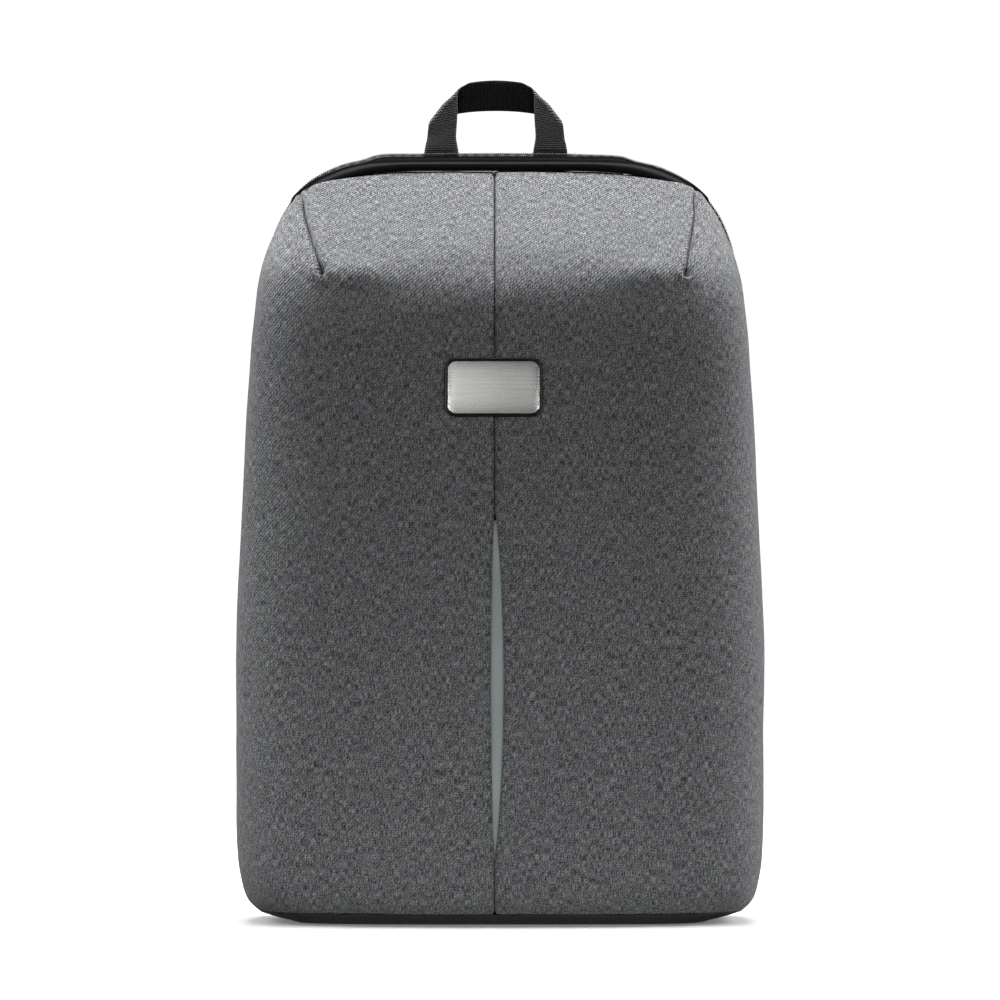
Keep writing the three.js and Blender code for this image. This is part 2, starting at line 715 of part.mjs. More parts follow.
// Lower webbing: free tail behind, over the bar, then forward to its sewn end
const anchorRows = [
  { up: 0.2105, out: 0.5633, behind: 0.3342 },
  { up: 0.1693, out: 0.5867, behind: 0.2082 },
  { up: 0.1327, out: 0.6100, behind: 0.0877 },
  { up: 0.1098, out: 0.6233, behind: 0.0411 },
  { up: 0.0595, out: 0.6467, behind: 0.0342 },
];
const tailRows = [
  { up: 0.1327, out: 0.5567, behind: 0.5534 },
  { up: 0.1922, out: 0.5533, behind: 0.5808 },
];
const lowLine = [
  ...tailRows.map((row) => ({ p: strapPlace(row) })),
  ...turnLine(adjusterZ - barStep, 1),
  ...anchorRows.map((row) => ({ p: strapPlace(row) })),
];

const mirror = (line, side) => line.map((row) => ({
  ...row, p: new THREE.Vector3(side * row.p.x, row.p.y, row.p.z),
}));

for (const [word, side] of [["left", -1], ["right", 1]]) {
  const padLine = strapRows.map((row) => ({
    p: strapPlace(row), wide: row.wide * padWide, thick: row.thick * padThick,
  }));
  addLoft(`shoulder_pad_${word}`, sweepRows(mirror(padLine, side), padSection), blackCloth);
  addLoft(`strap_tab_${word}`, sweepRows(mirror(tabLine, side), webSection), blackWeb);
  addLoft(`strap_webbing_${word}`, sweepRows(mirror(lowLine, side), webSection), blackWeb);

  const frame = roundedRect(adjusterWide, 3 * barThick + 2 * slotTall, 2.5);
  for (const at of [-1, 1]) {
    const slot = roundedRect(webWide + 2 * slotSpare, slotTall, 0.8);
    const moved = slot.getPoints(3).map((p) => new THREE.Vector2(p.x, p.y + at * barStep / 2));
    frame.holes.push(new THREE.Path(moved));
  }
  addUpright(`strap_adjuster_${word}`, frame, barThick, side * adjusterX,
    adjusterY + barThick / 2, adjusterZ, moulded);
}

// Zip slider with its flat pull, flat against the zip low on the right side
const sliderX = sectionAt(sliderZ).half - tuckDeep + gap;
function addBlock(name, low, high, material) {
  const geometry = new THREE.BoxGeometry(high[0] - low[0], high[1] - low[1], high[2] - low[2]);
  geometry.translate((low[0] + high[0]) / 2, (low[1] + high[1]) / 2, (low[2] + high[2]) / 2);
  addMesh(name, geometry, material);
}
addBlock("zip_slider", [sliderX, zipStartY + 0.6, sliderZ],
  [sliderX + sliderThick, zipStartY + zipWide - 0.6, sliderZ + sliderLong], moulded);
addBlock("slider_pull", [sliderX + 0.2, zipStartY + 1, sliderZ - gap - pullLong],
  [sliderX + 0.2 + pullThick, zipStartY + zipWide - 1, sliderZ - gap], moulded);

export default group;
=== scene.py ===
# %% [markdown]
# # Anti theft backpack
# A grey melange backpack stands upright and is seen from the front. Its body is a
# padded shell whose upper part leans back to a black zip. This lesson dresses the
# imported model: each soft solid is replaced by cloth with seams, darts, weave and
# stitches, in the same place and at the same size.

# %% Load the frame
import math
from bisect import bisect_left

import bmesh
import bpy
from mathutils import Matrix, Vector, kdtree, noise


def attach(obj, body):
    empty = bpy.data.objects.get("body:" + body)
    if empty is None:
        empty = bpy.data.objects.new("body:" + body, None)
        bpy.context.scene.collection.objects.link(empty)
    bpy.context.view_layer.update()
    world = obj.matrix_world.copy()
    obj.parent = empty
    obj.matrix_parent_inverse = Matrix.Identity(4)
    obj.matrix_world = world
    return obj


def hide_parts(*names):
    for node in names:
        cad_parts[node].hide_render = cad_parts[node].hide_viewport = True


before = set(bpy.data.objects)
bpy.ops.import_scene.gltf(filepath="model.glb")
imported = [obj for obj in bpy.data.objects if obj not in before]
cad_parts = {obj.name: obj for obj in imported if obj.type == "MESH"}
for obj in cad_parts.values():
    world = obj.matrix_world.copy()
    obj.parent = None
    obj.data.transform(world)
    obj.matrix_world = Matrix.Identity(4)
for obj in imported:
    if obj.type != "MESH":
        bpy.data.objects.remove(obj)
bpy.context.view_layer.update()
MM = 0.001

# %% [markdown]
# ## The form of the body
# On the real bag the panels are cut flat and sewn over foam. The form can be sculpted,
# but a table of level sections is easier to check against the outline: each row gives
# the height, the half width, how far the front stands before the zip, and how square
# the corner is. A curve through the rows gives every height between them.

# %% Table of level sections
BODY_WIDTH, BODY_HEIGHT = 300.0, 437.0
SEAM_X, ZIP_Y, FRONT_DEPTH = -3.0, 30.0, 103.0
GAP = 0.3
TUCK_DEEP, TUCK_LONG = 2.5, 22.0

SECTIONS = [  # up, wide, front, square
    (0.0149, 0.917, 0.893, 4.0), (0.0261, 0.951, 0.937, 4.3), (0.0389, 0.969, 0.961, 4.5),
    (0.0572, 0.982, 0.979, 4.7), (0.0824, 0.994, 0.988, 4.8), (0.1304, 1.000, 0.995, 4.8),
    (0.2517, 1.000, 1.000, 4.8), (0.3661, 1.000, 0.993, 4.8), (0.5034, 0.984, 0.973, 4.8),
    (0.6293, 0.966, 0.944, 4.8), (0.7551, 0.944, 0.942, 4.8), (0.7826, 0.936, 0.934, 4.8),
    (0.8101, 0.927, 0.915, 4.8), (0.8330, 0.918, 0.880, 4.8), (0.8513, 0.907, 0.831, 4.8),
    (0.8673, 0.895, 0.764, 4.7), (0.8833, 0.881, 0.676, 4.6), (0.9016, 0.860, 0.566, 4.4),
    (0.9199, 0.835, 0.449, 4.2), (0.9382, 0.800, 0.331, 4.0), (0.9519, 0.769, 0.243, 4.0),
    (0.9634, 0.732, 0.167, 4.0), (0.9725, 0.689, 0.105, 4.0), (0.9783, 0.655, 0.067, 4.0),
    (0.9863, 0.596, 0.031, 4.0), (0.9931, 0.513, 0.008, 4.0), (0.9984, 0.467, 0.001, 4.0),
]


def smooth(low, high, value):
    """0 at low, 1 at high, with soft ends; low may be the larger one."""
    t = min(max((value - low) / (high - low), 0.0), 1.0)
    return t * t * (3 - 2 * t)


def column(index, z):
    """One column of the table at a height, on a smooth curve through the rows."""
    up = min(max(z / BODY_HEIGHT, SECTIONS[0][0]), SECTIONS[-1][0])
    k = max(next(i for i, row in enumerate(SECTIONS) if i > 0 and row[0] >= up) - 1, 0)

    def slope(i):
        a, b = SECTIONS[max(i - 1, 0)], SECTIONS[min(i + 1, len(SECTIONS) - 1)]
        return (b[index] - a[index]) / (b[0] - a[0])

    a, b = SECTIONS[k], SECTIONS[k + 1]
    h = b[0] - a[0]
    t = (up - a[0]) / h
    bend = t * t * (3 - 2 * t)
    return (a[index] * (1 - bend) + b[index] * bend + slope(k) * h * t * (1 - t) ** 2
            - slope(k + 1) * h * t * t * (1 - t))


def section_at(z):
    """Half width, front place, squareness, widest place and tuck at a height, in mm."""
    share = 1 - smooth(0.789, 0.915, z / BODY_HEIGHT)
    return (column(1, z) * BODY_WIDTH / 2, ZIP_Y - column(2, z) * FRONT_DEPTH, column(3, z),
            ZIP_Y - TUCK_LONG * share, TUCK_DEEP * share)


def front_y(x, z):
    half, front, square, wide_y, _ = section_at(z)
    flat = max(1 - min(abs(x) / half, 1) ** square, 0.0)
    return wide_y - (wide_y - front) * flat ** (1 / square)


print("front at the plate, mm before the origin:", round(-front_y(0, 303), 1))

# %% [markdown]
# ## Helpers for lines
# Most pieces are sewn along a line, so the distance walked along it is the natural
# measure for their rows. Three short functions give that distance, the place at a
# distance and the direction at a place.

# %% Lengths, places and directions
def running_lengths(line):
    lengths = [0.0]
    for a, b in zip(line, line[1:]):
        lengths.append(lengths[-1] + (b - a).length)
    return lengths


def place_along(line, lengths, want):
    """The place of a line at the distance want from its start."""
    k = bisect_left(lengths, want, 1, len(lengths) - 1)
    t = (want - lengths[k - 1]) / (lengths[k] - lengths[k - 1])
    return line[k - 1].lerp(line[k], min(max(t, 0.0), 1.0))


def direction(line, i):
    return (line[min(i + 1, len(line) - 1)] - line[max(i - 1, 0)]).normalized()


corner = [Vector((0, 0, 0)), Vector((3, 0, 0)), Vector((3, 4, 0))]
print("a bent line of", running_lengths(corner)[-1], "mm, its middle at",
      tuple(place_along(corner, running_lengths(corner), 3.5)))

# %% [markdown]
# ## Helpers for pieces
# Cloth is made from a flat grid whose points are moved onto the form. The grid keeps
# its rows and columns, so the piece gets a UV map measured in real lengths along the
# cloth, and every weave keeps its size and runs with the threads. A closed skin is the
# same grid with its last column sewn to its first.

# %% Make, finish and register a piece
def finish_piece(bm, name, material, nodes=()):
    """Merge, face outward, make the object and tell the frame what it is."""
    bmesh.ops.remove_doubles(bm, verts=bm.verts, dist=1e-6)
    bmesh.ops.recalc_face_normals(bm, faces=bm.faces)
    for face in bm.faces:
        face.smooth = True
    mesh = bpy.data.meshes.new(name)
    bm.to_mesh(mesh)
    bm.free()
    mesh.materials.append(material)
    piece = bpy.data.objects.new(name, mesh)
    bpy.context.scene.collection.objects.link(piece)
    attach(piece, "root")
    if nodes:
        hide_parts(*nodes)
    print(name, "faces", len(mesh.polygons))
    return piece


def cloth_grid(places, uv_side=1, flat=None):
    """A grid of quads on rows of places (mm). Its UV map, in metres, comes from the
    lengths along the rows and columns, or from the table flat."""
    rows, columns = len(places), len(places[0])
    bm = bmesh.new()
    bmesh.ops.create_grid(bm, x_segments=columns - 1, y_segments=rows - 1, size=0.5)
    uv = bm.loops.layers.uv.new("cloth")
    along = [[0.0] * columns for _ in range(rows)]
    up = [[0.0] * columns for _ in range(rows)]
    for i in range(rows):
        for j in range(columns):
            if j:
                along[i][j] = along[i][j - 1] + (places[i][j] - places[i][j - 1]).length
            if i:
                up[i][j] = up[i - 1][j] + (places[i][j] - places[i - 1][j]).length
            if flat:
                along[i][j], up[i][j] = flat[i][j]
    for vert in bm.verts:
        j = round((vert.co.x + 0.5) * (columns - 1))
        i = round((vert.co.y + 0.5) * (rows - 1))
        vert.co = places[i][j] * MM
        for loop in vert.link_loops:
            loop[uv].uv = (uv_side * along[i][j] * MM, up[i][j] * MM)
    return bm


def thicken(piece, thick, offset=-1.0):
    wall = piece.modifiers.new("wall", "SOLIDIFY")
    wall.thickness, wall.offset = thick * MM, offset


# %% [markdown]
# ## Materials
# Each material is built from nodes. Patterns read the UV map of the cloth or the
# object's own coordinates, both in metres, so a scale of 1000 is one wave per
# millimetre. Colours are written as sRGB hex and turned into linear light.

# %% Colour and node helpers
def linear(code):
    """sRGB hex to linear RGBA."""
    parts = [int(code[i:i + 2], 16) / 255 for i in (1, 3, 5)]
    return [v / 12.92 if v <= 0.04045 else ((v + 0.055) / 1.055) ** 2.4 for v in parts] + [1.0]


def add(tree, kind, settings=None, **links):
    """Add a node; settings fill its fields or sockets, links join its sockets."""
    made = tree.nodes.new("ShaderNode" + kind)
    for key, value in (settings or {}).items():
        if isinstance(key, int) or key in made.inputs:
            made.inputs[key].default_value = value
        else:
            setattr(made, key, value)
    for key, source in links.items():
        socket = made.inputs[int(key[1:])] if key[0] == "i" and key[1:].isdigit() \
            else made.inputs[key.replace("_", " ")]
        tree.links.new(source, socket)
    return made


def new_material(name, roughness=0.8, metallic=0.0, sheen=0.0, specular=0.5):
    material = bpy.data.materials.new(name)
    material.use_nodes = True
    tree = material.node_tree
    shader = tree.nodes["Principled BSDF"]
    shader.inputs["Roughness"].default_value = roughness
    shader.inputs["Metallic"].default_value = metallic
    shader.inputs["Sheen Weight"].default_value = sheen
    shader.inputs["Sheen Roughness"].default_value = 0.4
    shader.inputs["Specular IOR Level"].default_value = specular
    return material, tree, shader


def math_node(tree, operation, a, b=0.0):
    made = add(tree, "Math", {"operation": operation})
    for index, value in enumerate((a, b)):
        if isinstance(value, (int, float)):
            made.inputs[index].default_value = value
        else:
            tree.links.new(value, made.inputs[index])
    return made.outputs[0]


def weighted(tree, *parts):
    """Sum of values, each given with its weight."""
    total = None
    for value, weight in parts:
        part = value if weight == 1 else math_node(tree, "MULTIPLY", value, weight)
        total = part if total is None else math_node(tree, "ADD", total, part)
    return total


def cloth_axes(tree):
    """The cloth's UV map, its place across and its place up."""
    uv = add(tree, "UVMap", {"uv_map": "cloth"}).outputs["UV"]
    split = add(tree, "SeparateXYZ", Vector=uv)
    return uv, split.outputs[0], split.outputs[1]


def stretched_noise(tree, coordinates, scale, detail=2.0):
    """Noise in metres with its own number of waves per metre along each axis."""
    mapped = add(tree, "Mapping", {"Scale": scale}, Vector=coordinates)
    return add(tree, "TexNoise", {"Scale": 1.0, "Detail": detail, "Roughness": 0.6},
               Vector=mapped.outputs[0]).outputs["Fac"]


def ramp(tree, value, stops):
    made = add(tree, "ValToRGB", Fac=value)
    elements = made.color_ramp.elements
    while len(elements) < len(stops):
        elements.new(0.5)
    for element, (place, colour) in zip(elements, stops):
        element.position = place
        element.color = linear(colour) if isinstance(colour, str) else (colour,) * 3 + (1.0,)
    return made.outputs["Color"]


def bump(tree, shader, height, distance, strength=1.0):
    made = add(tree, "Bump", {"Strength": strength, "Distance": distance * MM}, Height=height)
    tree.links.new(made.outputs["Normal"], shader.inputs["Normal"])


print("#808080 in linear light", round(linear("#808080")[0], 3))

# %% [markdown]
# ### Grey melange polyester
# Melange cloth mixes dark and light fibres, so single threads are lighter or darker
# over a few millimetres, both along and across the cloth. Two stretched noises make
# those threads. A diagonal twill lies over them, drawn coarser than the real weave so
# that it shows from five metres. A printed image would be quicker but repeats; noise
# never does.

# %% Melange material
TWILL_STEP = 1.7  # mm; a wave of the diagonals takes this times the root of 2


def melange(name, dark="#2c2d2f", light="#aeb0b2"):
    material, tree, shader = new_material(name, roughness=0.92, sheen=0.25, specular=0.2)
    uv, across, up = cloth_axes(tree)
    warp = stretched_noise(tree, uv, (2100, 230, 1))
    weft = stretched_noise(tree, uv, (230, 2100, 1))
    fine = stretched_noise(tree, uv, (2800, 2800, 1), 1.0)
    blotch = stretched_noise(tree, uv, (120, 120, 1))
    turns = math.tau / (TWILL_STEP * MM * math.sqrt(2))
    slope = weighted(tree, (across, turns), (up, -turns))
    twill = math_node(tree, "SINE", slope)
    mixed = weighted(tree, (warp, 0.42), (weft, 0.28), (fine, 0.27), (blotch, 0.04),
                     (twill, 0.014))
    colour = ramp(tree, mixed, [(0.43, dark), (0.505, "#68696b"), (0.60, light)])
    tree.links.new(colour, shader.inputs["Base Color"])
    bump(tree, shader, weighted(tree, (twill, 0.6), (mixed, 1)), 0.32)
    return material


cloth_grey = melange("melange polyester")
print(cloth_grey.name, "nodes", len(cloth_grey.node_tree.nodes))

# %% [markdown]
# ### Black cloth, webbing, coated edging and the rest
# Black cloth still needs a weave, or it turns into a hole in the picture. Webbing has
# ribs across its length, so its pattern reads the second UV axis.

# %% Black cloths and webbing
def woven(name, dark, light, per_metre, roughness=0.85, sheen=0.3):
    material, tree, shader = new_material(name, roughness=roughness, sheen=sheen, specular=0.3)
    uv, across, up = cloth_axes(tree)
    waves = [math_node(tree, "SINE", math_node(tree, "MULTIPLY", axis, per_metre * math.tau))
             for axis in (across, up)]
    weave = math_node(tree, "MULTIPLY", waves[0], waves[1])
    mottle = stretched_noise(tree, uv, (600, 600, 1))
    value = weighted(tree, (weave, 0.2), (mottle, 1))
    tree.links.new(ramp(tree, value, [(0.3, dark), (0.75, light)]), shader.inputs["Base Color"])
    bump(tree, shader, weave, 0.3, 0.8)
    return material


RIB = 1.38  # mm from one rib of the webbing to the next
WANDER = 2.2  # radians by which the ribs stray at most


def webbing(name, dark, light, specular):
    material, tree, shader = new_material(name, roughness=0.7, sheen=0.6 * specular,
                                          specular=specular)
    uv, across, up = cloth_axes(tree)
    wander = math_node(tree, "MULTIPLY", stretched_noise(tree, uv, (700, 300, 1)), WANDER)
    phase = weighted(tree, (up, math.tau * 1000 / RIB), (wander, 1))
    rib = math_node(tree, "SINE", phase)
    thread = math_node(tree, "SINE", math_node(tree, "MULTIPLY", across, math.tau * 1100))
    fleck = stretched_noise(tree, uv, (1400, 1400, 1))
    value = weighted(tree, (rib, 0.28), (fleck, 0.9))
    tree.links.new(ramp(tree, value, [(0.25, dark), (0.85, light)]), shader.inputs["Base Color"])
    bump(tree, shader, weighted(tree, (rib, 1), (thread, 0.3)), 0.35, 0.9)
    return material


cloth_black = woven("black polyester", "#0c0d0e", "#212224", 900)
cloth_mesh = woven("black air mesh", "#08090a", "#2c2d2f", 330, roughness=0.9)
web_black = webbing("black webbing", "#141516", "#8e8f93", 0.6)
# The reverse is a darker, duller copy of the same webbing: painted shade for the handle's bar.
web_reverse_painted_shade = webbing("black webbing reverse painted shade", "#0b0c0c", "#2b2c2d", 0.16)
print("materials so far", len(bpy.data.materials))

# %% [markdown]
# Hard and coated parts have no weave to follow, so their patterns read the object's own
# coordinates. One function serves most of them: two tones, a fine noise and a soft
# bump. The steel is brushed along its width, and the tape is a layer of glass beads.

# %% Coated edging, nylon, plastic, steel and reflective tape
def object_noise_material(name, dark, light, scale, distance, **shader_settings):
    material, tree, shader = new_material(name, **shader_settings)
    place = add(tree, "TexCoord").outputs["Object"]
    value = stretched_noise(tree, place, scale, 3.0)
    tree.links.new(ramp(tree, value, [(0.3, dark), (0.7, light)]), shader.inputs["Base Color"])
    bump(tree, shader, value, distance)
    return material


coated = object_noise_material("coated edging", "#08090a", "#121314", (600, 600, 600), 0.05,
                               roughness=0.26, specular=0.018)
tape_black = object_noise_material("woven zip tape", "#0c0d0e", "#222325", (1500, 1500, 1500),
                                   0.15, roughness=0.8, specular=0.1)
# The light flecks of the coil's noise are painted glints, lighter than black nylon.
nylon = object_noise_material("nylon zip coil painted glints", "#141516", "#46474a", (900, 900, 900), 0.04,
                              roughness=0.3, specular=0.5)
moulded = object_noise_material("moulded nylon", "#101112", "#1c1d1f", (700, 700, 700), 0.04,
                                roughness=0.48)
rim_black = object_noise_material("black lacquered rim", "#050606", "#0c0d0d", (300, 300, 300),
                                  0.02, roughness=0.3)
# Black thread for the dart seams; its dark line is partly painted shade in the dart's valley.
dart_thread_and_shade = object_noise_material("black sewing thread and painted dart shade", "#101112", "#303133",
                                     (2500, 2500, 2500), 0.05, roughness=0.7)


def brushed_steel():
    material, tree, shader = new_material("brushed steel", roughness=0.22, metallic=1.0)
    place = add(tree, "TexCoord").outputs["Object"]
    brush = stretched_noise(tree, place, (55, 55, 3200), 4.0)
    long_brush = stretched_noise(tree, place, (14, 14, 900), 3.0)
    mixed = weighted(tree, (brush, 0.6), (long_brush, 0.4))
    tree.links.new(ramp(tree, mixed, [(0.3, "#bfbfbb"), (0.7, "#dcdcd9")]),
                   shader.inputs["Base Color"])
    rough = ramp(tree, mixed, [(0.3, 0.19), (0.7, 0.27)])
    tree.links.new(rough, shader.inputs["Roughness"])
    bump(tree, shader, mixed, 0.03, 0.7)
    return material


def reflective_tape():
    material, tree, shader = new_material("reflective tape", roughness=0.45, specular=0.5)
    place = add(tree, "TexCoord").outputs["Object"]
    beads = add(tree, "TexVoronoi", {"Scale": 2600.0}, Vector=place).outputs["Distance"]
    cloud = stretched_noise(tree, place, (60, 60, 25))
    value = weighted(tree, (beads, 0.25), (cloud, 0.8))
    tree.links.new(ramp(tree, value, [(0.3, "#919a98"), (0.8, "#aab2b0")]),
                   shader.inputs["Base Color"])
    bump(tree, shader, beads, 0.02)
    return material


steel = brushed_steel()
reflector = reflective_tape()
print("materials", len(bpy.data.materials))

# %% [markdown]
# ## Front panels
# Two panels of melange cloth meet in the centre seam and reach round the sides to the
# zip. Each half section is measured along its length, and the grid's columns sit at
# shares of it. They crowd at the seam, whose edge turns in, and at the dart.

# %% Measure half a level section
SIDES = (("left", -1), ("right", 1))
SLIT_LOW, SLIT_HIGH, SLIT_LEFT, SLIT_RIGHT = 41.7, 232.6, 2.0, 4.9


def slit_open(z, widest):
    t = (z - SLIT_LOW) / (SLIT_HIGH - SLIT_LOW)
    return 0.0 if t <= 0 or t >= 1 else widest * math.sin(math.pi * t) ** 0.7


def seam_edge(z, side):
    return SEAM_X + side * (GAP / 2 + slit_open(z, SLIT_LEFT if side < 0 else SLIT_RIGHT))


def half_section(z, side, edge):
    half, front, square, wide_y, tuck = section_at(z)
    line = [Vector((edge, front_y(edge, z), z))]
    steps = 110
    for k in range(steps + 1):
        angle = math.pi / 2 * k / steps
        x = side * half * math.sin(angle) ** (2 / square)
        if side * (x - edge) > 0.4:
            y = wide_y - (wide_y - front) * max(math.cos(angle), 0) ** (2 / square)
            line.append(Vector((x, y, z)))
    for k in range(1, 9):
        t = k / 8
        y = wide_y + (ZIP_Y - GAP / 2 - wide_y) * t
        if y > line[-1].y:
            line.append(Vector((side * (half - tuck * t * t), y, z)))
    return line, running_lengths(line)


def point_at(section, share):
    line, lengths = section
    return place_along(line, lengths, share * lengths[-1])


def share_at_x(section, out):
    line, lengths = section
    k = 1
    while k < len(line) - 1 and abs(line[k].x) < out:
        k += 1
    t = (out - abs(line[k - 1].x)) / (abs(line[k].x) - abs(line[k - 1].x))
    return (lengths[k - 1] + min(max(t, 0.0), 1.0) * (lengths[k] - lengths[k - 1])) / lengths[-1]


print("half section at 200 mm, length in mm", round(half_section(200, 1, SEAM_X)[1][-1]))

# %% [markdown]
# The darts are given as lines in the front view, where they are easiest to measure. The
# edge under the band has no fixed height: it lies where the cloth comes near enough to
# the zip, and that height is found by halving.

# %% Darts and the edge under the band
DARTS = {  # side: x and height along the dart, from the band down to its tip
    -1: [(-114.0, 415.0), (-111.8, 403.0), (-108.9, 394.0), (-106.0, 384.5), (-100.8, 370.2)],
    1: [(111.0, 415.0), (111.2, 404.0), (109.0, 391.5), (107.0, 381.0), (105.3, 369.3)],
}
BAND_HALF, BAND_DEEP, CORNER_MORE = 122.0, 5.6, 0.9
DART_SHARE_MOST = 0.955  # of a half section's length, so that cloth is left outside
HALVINGS = 22


def dart_x(side, z):
    line = DARTS[side]
    if z >= line[0][1]:
        return line[0][0]
    for (xa, za), (xb, zb) in zip(line, line[1:]):
        if z >= zb:
            t = (za - z) / (za - zb)
            return xa + (xb - xa) * t
    return line[-1][0] * section_at(z)[0] / section_at(line[-1][1])[0]


def band_reach(x):
    corner = 1.0 + CORNER_MORE * smooth(50, BAND_HALF - 18, abs(x))
    return BAND_DEEP * corner * smooth(BAND_HALF, BAND_HALF - 8, abs(x))


def on_dart_line(z, side):
    section = half_section(z, side, seam_edge(z, side))
    share = share_at_x(section, abs(dart_x(side, z)))
    return point_at(section, min(share, DART_SHARE_MOST))


def edge_height(place_at):
    """The height at which a line of places meets the band."""
    low, high = 395.0, SECTIONS[-2][0] * BODY_HEIGHT
    for _ in range(HALVINGS):
        z = (low + high) / 2
        p = place_at(z)
        low, high = (z, high) if p.y < ZIP_Y - GAP / 2 - band_reach(p.x) else (low, z)
    return low


DART_TOP = {side: edge_height(lambda z: on_dart_line(z, side)) for side in (-1, 1)}
print("dart tops at mm", {side: round(z, 1) for side, z in DART_TOP.items()})

# %% [markdown]
# The columns near the seam and the dart are placed at fixed distances in millimetres,
# so a turned edge of one millimetre keeps its size at every height.

# %% Columns and rows of a panel
SEAM_STEPS = [0.0, 0.25, 0.5, 0.8, 1.2, 1.8, 2.6, 3.8, 5.5]
DART_STEPS = [-7.0, -4.6, -3.0, -1.9, -1.1, -0.5, 0.0, 0.5, 1.1, 1.9, 3.0, 4.6, 7.0]
SEAM_TO_DART, DART_TO_ZIP = 44, 34  # even steps of the grid between them
DART_INDEX = len(SEAM_STEPS) + SEAM_TO_DART - 1 + DART_STEPS.index(0.0)
DART_ROOM = 9.0  # mm of cloth outside the dart that its full steps need
CORNER_LOW = 396.5  # height in mm at which the last column meets the zip
FAN_LOW, FAN_SHARE = 366.0, 0.3  # height and share over which outer columns run together
LEVEL_TOP, SLOPING_ROWS = 386.0, 22  # the last level row, and the rows above it


def corner_share(j, count):
    return max(j - DART_INDEX, 0) / (count - 1 - DART_INDEX)


def corner_height(j, count, side):
    """Where a column outside the dart runs out on the zip edge."""
    return DART_TOP[side] + (CORNER_LOW - DART_TOP[side]) * corner_share(j, count)


def column_lengths(z, side):
    """Distances in mm from the seam edge of every column at one height."""
    section = half_section(z, side, seam_edge(z, side))
    total = section[1][-1]
    dart = min(share_at_x(section, abs(dart_x(side, z))), DART_SHARE_MOST) * total
    lengths = list(SEAM_STEPS)
    first, last = SEAM_STEPS[-1], dart + DART_STEPS[0]
    lengths += [first + (last - first) * k / SEAM_TO_DART for k in range(1, SEAM_TO_DART)]
    room = min((total - dart) / DART_ROOM, 1.0)
    lengths += [dart + s * (room if s > 0 else 1.0) for s in DART_STEPS]
    first = dart + DART_STEPS[-1] * room
    lengths += [first + (total - first) * k / DART_TO_ZIP for k in range(1, DART_TO_ZIP + 1)]
    for j in range(DART_INDEX + 1, len(lengths)):
        fan = smooth(FAN_LOW, corner_height(j, len(lengths), side), z)
        goal = dart + (total - dart) * smooth(0, FAN_SHARE, corner_share(j, len(lengths)))
        lengths[j] += max(goal - lengths[j], 0.0) * fan
    return section, lengths


def level_heights():
    """Heights of the level rows, closer together at the foot and at the shoulder."""
    z = SECTIONS[0][0] * BODY_HEIGHT
    heights = [z]
    while z < LEVEL_TOP:
        z += 1.6 if z < 30 else 2.6 if z < 340 else 1.9
        heights.append(z)
    return heights


def top_height(side, index):
    count = len(column_lengths(200, side)[1])
    if index > DART_INDEX:
        return corner_height(index, count, side)

    def place_at(z):
        section, lengths = column_lengths(z, side)
        return point_at(section, lengths[index] / section[1][-1])
    return edge_height(place_at)


TABLE_STEP = 4  # mm of height


def longer_than_tall(across):
    """Table, step by step of height, of how much longer a line is than its height."""
    table = [0.0]
    for k in range(1, int(BODY_HEIGHT / TABLE_STEP) + 1):
        step = across(TABLE_STEP * k) - across(TABLE_STEP * (k - 1))
        table.append(table[-1] + math.hypot(step, TABLE_STEP) - TABLE_STEP)
    return table


def read_table(table, z):
    share = z / TABLE_STEP
    k = min(int(share), len(table) - 2)
    return table[k] + (table[k + 1] - table[k]) * (share - k)


MIDDLE_TABLE = longer_than_tall(lambda z: front_y(0, z))
SIDE_TABLE = longer_than_tall(lambda z: section_at(z)[0])


def extra_length(z, tip, outside):
    """How much longer the cloth is than its height; outside the dart, above its tip,
    the cloth follows the side instead of the middle."""
    if not outside:
        return read_table(MIDDLE_TABLE, z)
    return read_table(MIDDLE_TABLE, min(z, tip)) + read_table(SIDE_TABLE, max(z, tip)) \
        - read_table(SIDE_TABLE, tip)


heights = level_heights()
print("level rows", len(heights), "columns", len(column_lengths(200, 1)[1]))

# %% [markdown]
# A dart is a wedge of cloth sewn away: a sharp valley between two soft swellings that
# ends in a small pucker. The seam edges turn in, the slit's lips stand up a little and
# slow waves a few centimetres long keep the cloth from looking like sheet metal.

# %% Relief of the cloth
def hump(high, gap, wide, power=2):
    """A soft hump: high in mm, falling off with the gap from its ridge over a width."""
    return high * math.exp(-(gap / wide) ** power)


def relief(p, side, from_edge, from_dart, from_zip):
    """How far the cloth stands out (mm) at a place of the plain form."""
    dip = hump(-2.4, from_edge, 0.8, 1.5)
    lip = slit_open(p.z, 1.0) * hump(0.55, from_edge - 2.2, 2.0)
    tip_x, tip_z = DARTS[side][-1]
    on_dart = smooth(tip_z - 3.5, tip_z + 1.5, p.z)
    on_dart *= smooth(DART_TOP[side] + 1, DART_TOP[side] - 7, p.z)
    valley = on_dart * hump(-3.0, abs(from_dart), 0.85, 1.4)
    swell = on_dart * hump(1.1, abs(from_dart) - 4.0, 2.8)
    reach = math.hypot(p.x - tip_x, p.z - tip_z + 1.0)
    pucker = hump(-4.8, reach, 2.7)
    rim = smooth(2.0, -2.5, p.z - tip_z) * hump(2.1, reach - 4.4, 1.7)
    out = abs(p.x)
    knee = hump(3.4, out - 84, 21) * hump(1, p.z - 367, 8.5)
    knee -= hump(1.4, out, 38) * hump(1, p.z - 373, 10)
    sunk = -2.6 * smooth(368, 404, p.z) * smooth(42, 2, from_zip)
    wave = 0.55 * noise.noise(Vector((p.x / 46, p.y / 46, p.z / 60)) + Vector((7, 3, side)))
    wave += 0.22 * noise.noise(Vector((p.x / 17, p.y / 17, p.z / 24)))
    return dip + lip + valley + swell + pucker + rim + knee + sunk + wave


